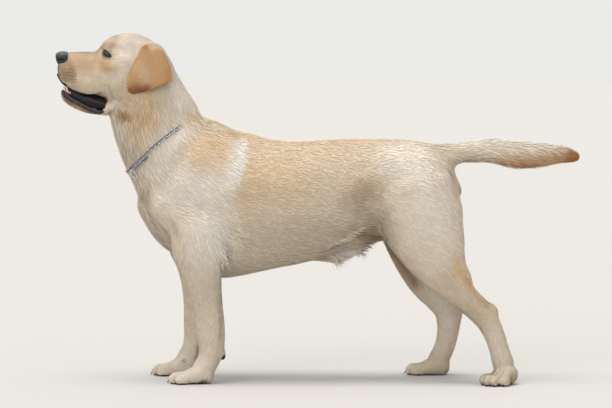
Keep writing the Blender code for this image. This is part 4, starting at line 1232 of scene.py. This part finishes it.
def tuft_shapes(root, up, way, length, width, rise, skin, free=0, hang=0):
    """A tuft's seven points: a root and a middle of three points each, and a tip.

    Its keel follows the skin: the middle and the tip are the skin's nearest places to half its length and
    its whole length ahead, raised by 0.85 and 1.0 of its rise. The normal there is the root's, turned by
    the chord between. Where `free` is above 0 the tip is that share of the way to its `hang`, and the
    middle 0.8 of it; its rise shrinks by 0.85 of it, and its shading turns to the side and up.
    """
    rise = rise * (1 - 0.85 * free)
    half = projected(root + way * length * 0.5, skin)
    end = projected(root + way * length, skin)
    half = half + free * 0.8 * ((root + hang) / 2 - half)
    end = end + free * (hang - end)
    chord = unit(end - root)
    up_half = unit(up - dot(up, chord) * chord)
    up_end = unit(up - 2 * dot(up, chord) * chord)
    up_end = unit(up_end + np.minimum(2 * free, 1) * (up_half - up_end))
    across = unit(np.cross(chord, up_half))
    wide, thick = across * width, width * 0.13
    middle = half + up_half * rise * 0.85
    base = root - up * 0.8 * MM
    points = np.stack([
        base - wide * 0.30,
        base + wide * 0.30,
        base + up * thick,
        middle - wide * 0.5,
        middle + wide * 0.5,
        middle + up_half * thick,
        end + up_end * rise,
    ], 1)
    lean = 0.30 * across
    shading = np.stack([up - lean, up + lean, up, up_half - lean, up_half + lean, up_half, up_end], 1)
    beside = np.sign(root[:, 1:2]) * [0, 1, 0] + [0, 0, 0.5]
    return points, unit(shading + (2 * free * beside)[:, None])


TUFT_FACES = np.array([
    (0, 1, 2),
    (0, 4, 1), (0, 3, 4),
    (1, 5, 2), (1, 4, 5),
    (2, 3, 0), (2, 5, 3),
    (3, 6, 4), (4, 6, 5), (5, 6, 3),
])
# How far along the tuft each of its points is, and where each is on its patch of the unwrap.
TUFT_ALONG = np.array([0, 0, 0, 0.5, 0.5, 0.5, 1.0])
TUFT_PATCH = np.array([(0, 0), (1, 0), (0.5, 0), (0, 0.5), (1, 0.5), (0.5, 0.5), (0.5, 1)]) - 0.5
PATCH = 0.003
TUFTS = 134000
FACE_END, SHOULDER_END, RIBS_END = -0.440, -0.15, 0.06
EAR_TUFTS = 7600


def tuft_piece(name, shapes, shading, colour, unwrap):
    """One coat piece: its tufts' faces, a colour along each tuft, and each tuft's patch at its place on
    the unwrap."""
    count = len(shapes)
    faces = (TUFT_FACES[None] + 7 * np.arange(count)[:, None, None]).reshape(-1, 3)
    obj = mesh_object(name, shapes.reshape(-1, 3), [faces])
    write_colours(obj.data, "coat", colour.reshape(-1, 3))
    layer = obj.data.uv_layers.new(name="OFBake")
    uv = unwrap[:, None] * (1 - 2 * PATCH) + PATCH + TUFT_PATCH[None] * PATCH
    layer.data.foreach_set("uv", uv.reshape(-1, 2)[faces.ravel()].astype(np.float32).ravel())
    obj.data.normals_split_custom_set_from_vertices(shading.reshape(-1, 3))
    return obj


# ------------------------------ materials


class Wire:
    """A shader socket that arithmetic adds Math nodes to."""

    def __init__(self, finish, socket):
        self.finish, self.socket = finish, socket

    def __add__(self, other):
        return self.finish.node("ShaderNodeMath", {"operation": "ADD"}, (self, other))

    def __mul__(self, other):
        return self.finish.node("ShaderNodeMath", {"operation": "MULTIPLY"}, (self, other))

    __radd__, __rmul__ = __add__, __mul__


class Finish:
    """A Principled material whose nodes are added by `node`."""

    def __init__(self, name, **constants):
        self.material = bpy.data.materials.new(name)
        self.material.use_nodes = True
        self.tree = self.material.node_tree
        self.shader = self.tree.nodes["Principled BSDF"]
        for label, value in constants.items():
            self.shader.inputs[label.replace("_", " ")].default_value = value

    def node(self, kind, settings=None, values=(), output=0):
        """Adds a node: its settings first, then the values or wires of its sockets, by place or by name."""
        made = self.tree.nodes.new(kind)
        for label, value in (settings or {}).items():
            setattr(made, label, value)
        for label, value in values.items() if isinstance(values, dict) else enumerate(values):
            self.feed(made.inputs[label], value)
        return Wire(self, made.outputs[output])

    def feed(self, socket, value):
        """Links a wire to a socket, or sets its value."""
        if isinstance(value, Wire):
            self.tree.links.new(value.socket, socket)
        else:
            socket.default_value = value

    def places(self):
        """Where the surface is, in Object coordinates."""
        return self.node("ShaderNodeTexCoord", output="Object")

    def noise(self, scale):
        """A noise on the surface's places."""
        values = {"Vector": self.places(), "Scale": scale, "Detail": 3.0, "Roughness": 0.5}
        return self.node("ShaderNodeTexNoise", None, values)

    def attribute(self, name):
        """A colour kept in the mesh."""
        return self.node("ShaderNodeAttribute", {"attribute_name": name})

    def mixed(self, amount, first, second):
        """Two colours mixed by an amount."""
        return self.node("ShaderNodeMix", {"data_type": "RGBA"}, {0: amount, 6: first, 7: second}, 2)

    def bump(self, height, strength, distance):
        """Feeds the normal with a bump of that height."""
        values = {"Strength": strength, "Distance": distance, "Height": height}
        self.feed(self.shader.inputs["Normal"], self.node("ShaderNodeBump", None, values))

    def colour(self, value):
        """Feeds the base colour."""
        self.feed(self.shader.inputs["Base Color"], value)


def coat_finish():
    """The coat's hair, in its tufts' colours."""
    finish = Finish("coat", Roughness=0.62, Specular_IOR_Level=0.28)
    finish.colour(finish.attribute("coat"))
    return finish.material


def skin_finish():
    """The skin under the coat, with a fine grain."""
    finish = Finish("skin", Roughness=0.75, Specular_IOR_Level=0.2)
    finish.colour(finish.attribute("coat"))
    finish.bump(finish.noise(350.0), 0.5, 0.001)
    return finish.material


def plain_finish(name, colour, **constants):
    """One colour all over."""
    return Finish(name, Base_Color=(*colour, 1), **constants).material


def dress(obj, material, slot_name, *nodes):
    """Gives a piece its finish and says what it rides on and what it stands for; slot_name is not used."""
    obj.data.materials.clear()
    obj.data.materials.append(material)
    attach(obj, "root")
    if nodes:
        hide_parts(*nodes)
    return obj


def add_piece(name, shells, material, slot_name, *nodes):
    """A finished piece of closed shells."""
    return dress(mesh_object(name, *joined(shells)), material, slot_name, *nodes)


def above_neck(x, z):
    """How high a place is over the line that slants up from the throat to the nape."""
    return z - 0.85 * (x + 0.34)


# ------------------------------ the dog


def coat_regions(points, lie):
    """The coat pieces that each root is in, and the path that it lies on."""
    x, y, z = points.T
    best = np.array(list(lie.share))[np.stack(list(lie.share.values())).argmax(0)]
    on_head = above_neck(x, z) > 0.575
    regions = {
        "coat_face": on_head & (x < FACE_END),
        "coat_head": on_head & (x >= FACE_END),
        "coat_neck": (best == "head") & ~on_head,
        "coat_tail": best == "tail",
    }
    for end, leg in (("front", "foreleg"), ("hind", "hindleg")):
        regions.update({f"coat_{leg}_{word}": best == f"{end}_{word}" for word in SIDES})
    for word, side in SIDES.items():
        trunk = (best == "trunk") & ((y < 0) == (side < 0))
        regions[f"coat_shoulder_{word}"] = trunk & (x < SHOULDER_END)
        regions[f"coat_ribs_{word}"] = trunk & (x >= SHOULDER_END) & (x < RIBS_END)
        regions[f"coat_rump_{word}"] = trunk & (x >= RIBS_END)
    return regions, best


def stretched(values):
    """The values spread out from 0 to 1."""
    return (values - values.min()) / max(np.ptp(values), 1e-6)


def unwrapped(chosen, lie, best):
    """Places on a unit square: each path of the piece has a strip, its length one way and its turn the
    other."""
    uv = np.zeros((len(chosen), 2))
    paths = np.unique(best[chosen])
    for number, name in enumerate(paths):
        mine = best[chosen] == name
        uv[mine, 0] = stretched(lie.along[name][chosen][mine])
        uv[mine, 1] = (number + stretched(lie.turn[name][chosen][mine]) * 0.98) / len(paths)
    return uv


def skin_colour(points):
    """The coat's colour a little darker, as painted shade under the tufts, and black round the eyes, in the
    mouth and under the feet; in the mouth the black is partly the lips' own and partly painted shade.
    """
    bare = in_mouth(points, 0.0025) * 1.0
    for side in (-1, 1):
        far, _, past, _ = about_eye(points, side)
        bare = np.maximum(bare, (far < 0.0165) * smooth_step(8.0 - past, 0, 5))
    bare = np.maximum(bare, smooth_step(0.004 - points[:, 2], 0, 0.002))
    # Painted shade: the skin under the coat is the coat's colour times 0.80, and the walls inside the mouth
    # are black.
    return mixed_in(coat_colour(points) * 0.80, bare, (0.016, 0.011, 0.010))


def add_ear(word, side):
    """One ear's skin and its coat, lying from the fold to the tip, on both faces."""
    rings = ear_shell(side)
    ear = mesh_object(f"ear_skin_{word}", *closed(rings), shift=False)
    roots, ups = coat_roots(ear, EAR_TUFTS, lambda p: np.ones(len(p)), 20 + side)
    rng = np.random.default_rng(30 + side)
    middles = rings.mean(1)
    down = unit(np.gradient(middles, axis=0))
    nearest = ((roots[:, None] - middles[None]) ** 2)[..., [0, 2]].sum(-1).argmin(1)
    way = down[nearest]
    sideways = (roots[:, 0] - middles[nearest, 0]) / 0.045
    way[:, 0] += 0.35 * sideways
    way += 0.12 * rng.normal(size=way.shape)
    way = unit(way - dot(way, ups) * ups)
    length, width, rise = (
        rng.uniform(low, high, (len(roots), 1)) * MM for low, high in ((6, 9), (0.9, 1.5), (0.7, 1.1))
    )
    shapes, shading = tuft_shapes(roots, ups, way, length, width, rise, ear)
    outer = dot(ups, np.array([0, side, 0.0])) > 0
    tint = np.where(outer, painted(roots, EAR_BASE, EAR_MARKINGS), np.array([CREAM]) * 0.8)
    tint = tint * rng.normal(1, 0.05, (len(roots), 1))
    # Painted shade: each tuft is darkened towards its root, where it lies under the others.
    colour = (tint[:, None] * (0.80 + 0.20 * TUFT_ALONG)[None, :, None]).clip(0, 1)
    unwrap = np.column_stack([stretched(nearest), (stretched(sideways) + outer[:, 0]) / 2 * 0.99])
    dress(tuft_piece(f"coat_ear_{word}", shapes, shading, colour, unwrap), coat_finish(), "coat_ginger")
    # Painted shade: the ear's skin under its coat is darkened to 0.8 of its markings.
    write_colours(ear.data, "coat", painted(points_of(ear), EAR_BASE, EAR_MARKINGS) * 0.8)
    return ear


def add_coat(skin, chain_path):
    """The coat's tufts, in pieces by region: none on the eyelids, the nose, the lips or under the chain."""
    roots, ups = coat_roots(skin, TUFTS, lambda p: np.prod([Lie(p).length, Lie(p).width], 0) ** -1.0, 1)
    keep = (roots[:, 2] > 0.004) & ~in_mouth(roots)
    for side in (-1, 1):
        far, _, past, _ = about_eye(roots, side)
        keep &= (far > EYE_CLEAR) | (past > 8)
    away = np.min([np.linalg.norm(roots - spot, axis=1) for spot in chain_path[::2]], 0)
    in_nose = np.abs(roots - [-0.570, 0, 0.7115]) < [0.016, 0.0230, 0.0140]
    keep &= (away > CHAIN_CLEAR) & ~in_nose.all(1)
    roots, ups = roots[keep], ups[keep]
    lie = Lie(roots)
    rng = np.random.default_rng(2)
    way = lie.direction(ups)
    turn = rng.normal(0, 0.06, len(roots))[:, None]
    way = unit(way * np.cos(turn) + np.cross(ups, way) * np.sin(turn))
    length = lie.length * rng.uniform(0.75, 1.15, len(roots))
    width = lie.width * rng.uniform(0.6, 1.1, len(roots))
    rise = lie.depth * rng.uniform(0.75, 1.10, len(roots))
    free, hang = np.zeros((len(roots), 1)), way * 0.5
    for *where, longer, higher, back, down, loose in FRINGES:
        place, reach = metres(where).reshape(2, 3)
        amount = np.exp(-(((one_sided(roots) - place) / reach) ** 2).sum(1))
        length += longer * MM * amount
        rise += higher * MM * amount * rng.uniform(0.3, 1.2, len(roots))
        swept = amount[:, None] * [back, 0, down]
        way = unit(way + swept - dot(way + swept, ups) * ups)
        free = np.maximum(free, (loose * amount * rng.uniform(0.2, 1, len(roots)))[:, None])
        hang += swept
    length, width, rise = length[:, None], width[:, None], rise[:, None]
    hang = unit(hang + 0.15 * ups + 0.16 * rng.normal(size=hang.shape))
    hang = roots + hang * rng.uniform(0.7, 1.1, (len(roots), 1)) * length
    shapes, shading = tuft_shapes(roots, ups, way, length, width, rise, skin, free, hang)
    tint = coat_colour(roots + way * length * 0.7)
    tint = tint * rng.normal(1, 0.05, (len(roots), 1)) * (1 + 0.04 * ripple(roots, 0.02, 9))[:, None]
    # Painted shade: each tuft is darkened towards its root, where it lies under the others.
    colour = (tint[:, None] * (0.82 + 0.18 * TUFT_ALONG)[None, :, None]).clip(0, 1)
    coat = coat_finish()
    regions, best = coat_regions(roots, lie)
    for name, inside in regions.items():
        chosen = np.flatnonzero(inside)
        unwrap = unwrapped(chosen, lie, best)
        piece = tuft_piece(name, shapes[chosen], shading[chosen], colour[chosen], unwrap)
        dress(piece, coat, "coat_gold")


def in_mouth(points, margin=0.0015):
    """True between the lips: seen from the side an odd number of the outline's edges lie above the point
    or it is within the margin of one, and on the front of the muzzle it is under z = 676.5 mm + margin -
    |y|."""
    outline = np.array([*UPPER_LIP, (-0.600, 0.6770), (-0.600, 0.6420), *LOWER_LIP[::-1]])
    x, z = points[:, 0, None], points[:, 2, None]
    x1, z1 = outline.T
    x2, z2 = np.roll(outline, -1, 0).T
    spans = (x1 <= x) != (x2 <= x)
    above = z1 + (x - x1) / np.where(x2 == x1, 1e-9, x2 - x1) * (z2 - z1) > z
    inside = (spans & above).sum(1) % 2 == 1
    near = from_line(points[:, [0, 2]], [*outline, outline[0]]) < margin
    arch = points[:, 2] < 0.6765 + margin - np.abs(points[:, 1])
    front = (points[:, 0] < -0.554) & (points[:, 2] > 0.640)
    return np.where(front, arch, inside | (near & (np.abs(points[:, 1]) < 0.055)))


def lip_path(tree, line, lift, peak):
    """A lip's path, from the right corner of the mouth round the front to the left one: the skin's places
    `lift` above the line, seen from the side, and an arc across the front that rises by `peak`."""
    rows = spline(line, 5)
    sides = {}
    for side in (-1, 1):
        places = []
        for x, z in rows:
            hit, _, _, _ = tree.ray_cast(Vector((x, side * 0.2, z + lift)), Vector((0, -side, 0)))
            if hit is not None and side * hit.y > 0.004:
                places.append((x, hit.y, z))
        sides[side] = np.array(places)
    x, _, z = (sides[-1][-1] + sides[1][-1]) / 2
    half = (sides[1][-1, 1] - sides[-1][-1, 1]) / 2
    turn = np.radians([60, 30, 0, -30, -60])
    front = np.stack([x - 0.45 * half * np.cos(turn), half * np.sin(turn), z + peak * np.cos(turn) ** 2], 1)
    path = np.vstack([sides[1], front, sides[-1][::-1]])
    for _ in range(2):
        path[1:-1] = path[1:-1] / 2 + (path[:-2] + path[2:]) / 4
    return path


def wet_finish(name, colour, roughness, grain, depth, wet=0.5):
    """Bare wet skin: one colour, mottled by a fine noise that also roughens it."""
    finish = Finish(name, Roughness=roughness, Specular_IOR_Level=wet, Coat_Weight=wet, Coat_Roughness=0.15)
    grains = finish.noise(grain)
    finish.colour(finish.mixed(grains, (*colour, 1), (*(1.8 * c for c in colour), 1)))
    finish.bump(grains, 0.6, depth)
    return finish.material


def add_mouth(skin):
    """The lips, a near-black lining between the jaws that is painted shade inside the mouth, the tongue, the
    gum and the teeth.

    A lip is an oval along its path, and thins towards the corners by (sin of the way along)^0.4.
    """
    tree = BVHTree.FromObject(skin, bpy.context.evaluated_depsgraph_get())
    lips = []
    for line, lift, peak, drop, high, wide in (
        (UPPER_LIP, 0.002, 0.0100, 0.0, 0.0019, 0.0022),
        (LOWER_LIP, -0.003, 0.0005, 0.0052, 0.0067, 0.0034),
    ):
        path = lip_path(tree, line, lift, peak)
        path[:, 2] -= drop
        ends = np.sin(np.linspace(0, math.pi, len(path))).clip(0.25) ** 0.4
        lips.append(closed(sweep(path, high * ends, wide * ends)))
    black = wet_finish("lips", (0.008, 0.006, 0.0065), 0.40, 700.0, 0.0006, 0.28)
    add_piece("lips", lips, black, "nose_leather")
    # Painted shade: the lining is near black, for the shade inside the open mouth.
    dark = wet_finish("mouth_shade_lining", (0.006, 0.004, 0.004), 0.55, 300.0, 0.0008, 0.15)
    add_piece("mouth_shade_lining", [closed(tube(MOUTH_SHADE_LINING, 2.4))], dark, "mouth")
    rings = tube(TONGUE, 2.4, points=48, steps=10)
    rings[..., 2] -= 0.003 * bell(rings[..., 1] / 0.004)
    pink = wet_finish("tongue", (0.16, 0.045, 0.04), 0.35, 700.0, 0.0005)
    add_piece("tongue_surface", [closed(rings)], pink, "mouth", "tongue")
    shells = []
    for forward, out, up, half, wide in TEETH:
        for side in (-1, 1):
            tooth = ball((forward, side * out, up), (-0.25, side * 0.05, 1), half, wide * 0.8, wide, 16, 10)
            shells.append(closed(tooth))
    teeth = plain_finish("teeth", (0.72, 0.62, 0.50), Roughness=0.25, Coat_Weight=0.4)
    add_piece("lower_teeth", shells, teeth, "eye")
    gum = wet_finish("gum", (0.36, 0.17, 0.15), 0.3, 700.0, 0.0003)
    add_piece("gum", [closed(sweep(GUM, 0.0030, 0.0030))], gum, "mouth")


def add_nose():
    """The nose's loft, hollowed at the nostrils and down its middle by exp(-(d / w)^2), with a wing above
    each."""
    rings = tube(NOSE, 2.9, (0.0045, 0.004), points=112, steps=22, cap_rings=16)
    nose = mesh_object("nose_surface", *closed(rings), shift=False)
    points = points_of(nose)
    folded = one_sided(points)
    move = np.zeros(len(points))
    for line, width, depth in NOSTRIL:
        move -= depth * MM * bell(from_line(folded, metres(line)) / (width * MM))
    wing = np.exp(-((folded - [-0.571, 0.0170, 0.7140]) ** 2 / [0.007**2, 0.006**2, 0.004**2]).sum(1))
    moved_to(nose, points + normals_of(nose) * (move + 0.0014 * wing)[:, None] + TO_ORIGIN)
    # Painted highlight: the leather is lighter grey over the top of the nose, where it faces the sky.
    paint = 0.030 + 0.075 * smooth_step(folded[:, 2], 0.712, 0.724)
    # Painted shade: near black in the nostrils, the slit and the groove, by how deep each is hollowed.
    paint = paint * (1 - 0.97 * smooth_step(-move, 0.0003, 0.0022))
    write_colours(nose.data, "paint", paint[:, None] * [1, 0.98, 0.99])
    finish = Finish("nose_leather", Roughness=0.42, Specular_IOR_Level=0.4)
    cells = finish.node("ShaderNodeTexVoronoi", None, {"Vector": finish.places(), "Scale": 1100.0})
    finish.colour(finish.mixed(cells * 0.6, finish.attribute("paint"), (0.006, 0.005, 0.005, 1)))
    finish.bump(cells, 0.5, 0.0005)
    dress(nose, finish.material, "nose_leather", "nose")


def eye_paint(t, a):
    """An eyeball's colours, ring by ring: a black pupil to 15 degrees from the axis, a streaked brown
    iris with a dark rim to 34, and dark past that."""
    angle = np.append(np.repeat(t, len(a)), (0, 180))[:, None]
    streaks = np.append(np.tile(np.sin(a * 37) * np.sin(a * 23 + 1), len(t)), (0, 0))[:, None]
    colour = np.array([(0.022, 0.016, 0.013)])
    brown = np.array([(0.038, 0.016, 0.007)]) * (1 + 0.35 * streaks)
    colour = colour + smooth_step(36.0 - angle, 0, 4) * (brown - colour)
    colour = colour * (1 - 0.75 * smooth_step(angle, 28, 34) * smooth_step(40 - angle, 0, 4))
    colour = colour * (1 - 0.99 * smooth_step(15.5 - angle, 0, 1.5))
    return colour.clip(0.001, 1)


def add_eyes():
    """Each eyeball, at angle t from its axis at the radius plus the cornea's 0.9 mm (1 - (t / 33)^2), and
    its rim, an oval carried along the lids' edge."""
    dark = wet_finish("eye_rim", (0.012, 0.008, 0.007), 0.3, 900.0, 0.0002)
    for word, side in SIDES.items():
        middle, out, ahead, up = eye_frame(side)
        gaze = unit(out + 0.25 * ahead)
        across = unit(np.cross(gaze, up))
        above = np.cross(across, gaze)
        t = np.linspace(1.5, 178, 90)
        a = np.radians(np.linspace(0, 360, 64, endpoint=False))
        radius = EYE_RADIUS + 0.0009 * (1 - (t / 33) ** 2).clip(0)
        ways = ways_about(np.radians(t)[:, None], a[None], gaze, across, above)
        poles = (middle + radius[0] * gaze, middle - radius[-1] * gaze)
        eye = mesh_object(f"eyeball_{word}", *closed(middle + radius[:, None, None] * ways, poles))
        write_colours(eye.data, "paint", eye_paint(t, a))
        finish = Finish(f"eye_{word}", Roughness=0.3, Specular_IOR_Level=0.2, **CORNEA)
        finish.colour(finish.attribute("paint"))
        dress(eye, finish.material, "eye", f"eye_{word}")
        turn = np.radians(np.linspace(0, 360, 73))
        path = middle + (EYE_RADIUS + 0.0008) * ways_about(np.radians(lid_edge(turn)), turn, out, ahead, up)
        wide = np.where(np.sin(turn) > 0, 0.0013, 0.0010)
        rim = sweep(np.vstack([path[-2:-1], path[1:]]), wide, wide, out, 10)
        add_piece(f"eyelid_rim_{word}", [closed(rim)], dark, "eye")


def painted_steel_light(normals, out):
    """Steel with painted light: a painted reflection, bright where it faces out, and painted shade where it
    faces the coat and the next link.
    """
    bright = smooth_step(dot(normals, out), 0.35, 0.85) * np.array([(0.82, 0.82, 0.81)])
    return np.array([(0.03, 0.028, 0.025)]) + bright


def add_collar(skin):
    """The chain: its path is the neck's skin, cast out to from the middle, and every other link is turned
    the other way about its length."""
    tree = BVHTree.FromObject(skin, bpy.context.evaluated_depsgraph_get())
    uphill = np.array([math.cos(COLLAR_TILT), 0, math.sin(COLLAR_TILT)])
    angle = np.linspace(0, 2 * math.pi, 180, endpoint=False)[:, None]
    ways = np.cos(angle) * uphill + np.sin(angle) * ACROSS
    chestward = unit(np.cross(ACROSS, uphill))
    bent = COLLAR_CENTRE - chestward * CHAIN_BEND * np.sin(angle) ** 2
    path = np.array([tree.ray_cast(Vector(start), Vector(way))[0] for start, way in zip(bent, ways)])
    path += ways * (CHAIN_OUT - 0.0105 * smooth_step(np.cos(angle), 0.45, 0.80))
    for _ in range(6):
        path = path / 2 + (np.roll(path, 1, 0) + np.roll(path, -1, 0)) / 4
    closed = np.vstack([path, path[:1]])
    run = np.append(0, np.cumsum(np.linalg.norm(np.diff(closed, axis=0), axis=1)))
    count = int(run[-1] / LINK_STEP / 2) * 2
    places = np.linspace(0, run[-1], count, endpoint=False)
    spots = np.stack([np.interp(places, run, closed[:, axis]) for axis in range(3)], 1)
    along = unit(np.roll(spots, -1, 0) - np.roll(spots, 1, 0))
    out = unit(spots - COLLAR_CENTRE)
    out = unit(out - dot(out, along) * along)
    beside = np.cross(along, out)
    turn = np.radians(np.where(np.arange(count) % 2, 38, -34))[:, None]
    flat = np.cos(turn) * beside + np.sin(turn) * out
    steel = Finish("steel", Metallic=1.0)
    steel.feed(steel.shader.inputs["Roughness"], steel.noise(220.0) * 0.25 + 0.14)
    steel.colour(steel.attribute("paint"))
    chain = mesh_object("chain_links", *hoops(spots, along, flat, *LINK))
    each = len(chain.data.vertices) // count
    # Painted reflection: every other link is darkened to 0.60, for the dark coat that it mirrors.
    link_shade = np.repeat(np.where(np.arange(count) % 2, 1.0, 0.60), each)[:, None]
    write_colours(chain.data, "paint", painted_steel_light(normals_of(chain), np.repeat(out, each, 0)) * link_shade)
    dress(chain, steel.material, "chain", "collar_chain")
    lowest = int(count * RING_PLACE)
    picked = (lowest + np.arange(1, 9)) % count
    strand = spots[picked] + chestward * 0.0070 + out[picked] * 0.0006
    parts = [hoops(strand, along[picked], flat[picked], *LINK)]
    centre = spots[lowest] + chestward * 0.0135 + out[lowest] * 0.0012
    flat_way = unit(np.cross(along[lowest], out[lowest]))
    parts.append(hoops(centre, along[lowest], flat_way, *RING, 48, 12))
    ring = mesh_object("chain_ring", *joined(parts))
    # Painted reflection and painted shade on the ring and its links, as on the chain.
    write_colours(ring.data, "paint", painted_steel_light(normals_of(ring), out[lowest]))
    dress(ring, steel.material, "chain", "collar_ring")
    return path[(np.cos(angle) < 0.62)[:, 0]]


def add_claws():
    """A claw on each toe, an oval cone bent down to the floor; and the pads, flattened balls under toes
    and heels."""
    claws, pads = [], []
    t = np.linspace(0, 1, 9)[:, None]
    for key in FEET:
        start, ahead, across = foot_frame(key)
        for run, off in TOES:
            way = unit(ahead + across * off * 5)
            base = start + ahead * (run + 0.0135) + across * off * 1.02 + [0, 0, 0.0105]
            path = base + way * 0.0090 * t - [0, 0, 0.0078] * t**1.5
            thick = 0.0022 * (1 - t[:, 0]) ** 0.6
            claws.append(closed(sweep(path, thick + 0.0005, 0.8 * thick + 0.0005)))
            toe = start + ahead * (run + 0.005) + across * off + [0, 0, 0.0036]
            pads.append((toe, ahead, 0.0115, 0.0036, 0.0070))
        pads.append((start + ahead * 0.020 + [0, 0, 0.0060], across, 0.0160, 0.0060, 0.0140))
        if key[0] == "front":
            pads.append((start - ahead * 0.001 + [0, 0, 0.0078], ahead, 0.0105, 0.0060, 0.0130))
            wrist = metres(LEG_BELLIES[f"wrist_pad_{key[1]}"][0]) + [0.0010, 0, -0.0070]
            pads.append((wrist, (0.1, 0, 1), 0.0080, 0.0062, 0.0070))
    finish = Finish("claws", Roughness=0.4, Coat_Weight=0.2)
    finish.colour(finish.mixed(finish.noise(300.0), (0.10, 0.078, 0.060, 1), (0.30, 0.24, 0.18, 1)))
    add_piece("claws", claws, finish.material, "nose_leather")
    leather = wet_finish("pads", (0.030, 0.024, 0.021), 0.65, 500.0, 0.0008, 0.1)
    add_piece("pads", [closed(ball(*pad)) for pad in pads], leather, "nose_leather")


def main():
    """Builds the skin, and then every piece that goes on it."""
    body = blended_body()
    x, _, z = points_of(body).T
    head = smooth_step(above_neck(x, z), 0.54, 0.60) * smooth_step(-x, 0.30, 0.34)
    group_of(body, "plain", 1 - head)
    modify(body, "DECIMATE", ratio=KEPT_FACES, vertex_group="plain")
    applied(body)
    cut(body, prism([(-1, -1), (1, -1), (1, 0), (-1, 0)], 1))
    cut(body, prism(MOUTH, 0.2))
    refine(body, lambda p: ((p[:, 0] < -0.445) & (p[:, 2] > 0.585)) | (p[:, 2] < 0.035))
    for reach in (0.022, 0.0140):
        refine(body, lambda p: (np.abs(one_sided(p) - EYE) < reach).all(1))

    points, normals = points_of(body), normals_of(body)
    points = with_lids(with_folds(points - normals * Lie(points).depth[:, None], normals))
    points[:, 2] = points[:, 2].clip(0.0)
    moved_to(body, points)
    add_mouth(body)
    add_coat(body, add_collar(body))
    write_colours(body.data, "coat", skin_colour(points_of(body)))
    ears = [add_ear(word, side) for word, side in SIDES.items()]
    with bpy.context.temp_override(active_object=body, object=body, selected_editable_objects=[body, *ears]):
        bpy.ops.object.join()
    body.data.transform(Matrix.Translation(Vector(TO_ORIGIN)))
    pairs = [f"{name}_{word}" for name in ("ear", "foreleg", "hindleg") for word in SIDES]
    dress(body, skin_finish(), "coat_cream", "head", "lower_jaw", "neck", "trunk", "tail", *pairs)
    add_nose()
    add_eyes()
    add_claws()


def add_camera():
    """A far camera with a long lens, level with the back, on the dog's left."""
    camera = bpy.data.objects.new("camera", bpy.data.cameras.new("camera"))
    bpy.context.scene.collection.objects.link(camera)
    camera.location = (-0.0258, -7.986, 0.8)
    aim = Vector((-0.0258, TO_ORIGIN[1], 0.389)) - camera.location
    camera.rotation_euler = aim.to_track_quat("-Z", "Y").to_euler()
    camera.data.sensor_width = 36
    camera.data.lens = 213.2
    bpy.context.scene.camera = camera


def add_sun(name, towards, softness, strength, colour):
    """A far, soft light that shines along `towards`."""
    lamp = bpy.data.lights.new(name, "SUN")
    lamp.angle = math.radians(softness)
    lamp.energy = strength
    lamp.color = colour
    obj = bpy.data.objects.new(name, lamp)
    bpy.context.scene.collection.objects.link(obj)
    obj.rotation_euler = Vector(towards).to_track_quat("-Z", "Y").to_euler()


def add_studio():
    """A pale floor and sky, and two soft suns."""
    corners = np.array([(-40, -40, 0), (40, -40, 0), (40, 40, 0), (-40, 40, 0)], float)
    floor = mesh_object("floor", corners, [np.array([[0, 1, 2, 3]])])
    floor.data.materials.append(plain_finish("floor", (0.50, 0.49, 0.475), Roughness=0.9))
    world = bpy.data.worlds.new("studio")
    bpy.context.scene.world = world
    world.use_nodes = True
    world.node_tree.nodes["Background"].inputs["Color"].default_value = (0.875, 0.872, 0.865, 1)
    world.node_tree.nodes["Background"].inputs["Strength"].default_value = 0.95
    add_sun("overhead", (0.15, 0.05, -1), 30, 2.25, (1.0, 0.97, 0.92))
    add_sun("front", (0.5, 1.0, -0.55), 40, 0.95, (1.0, 0.99, 0.98))
    bpy.context.scene.view_settings.view_transform = "Standard"


main()
add_studio()
add_camera()
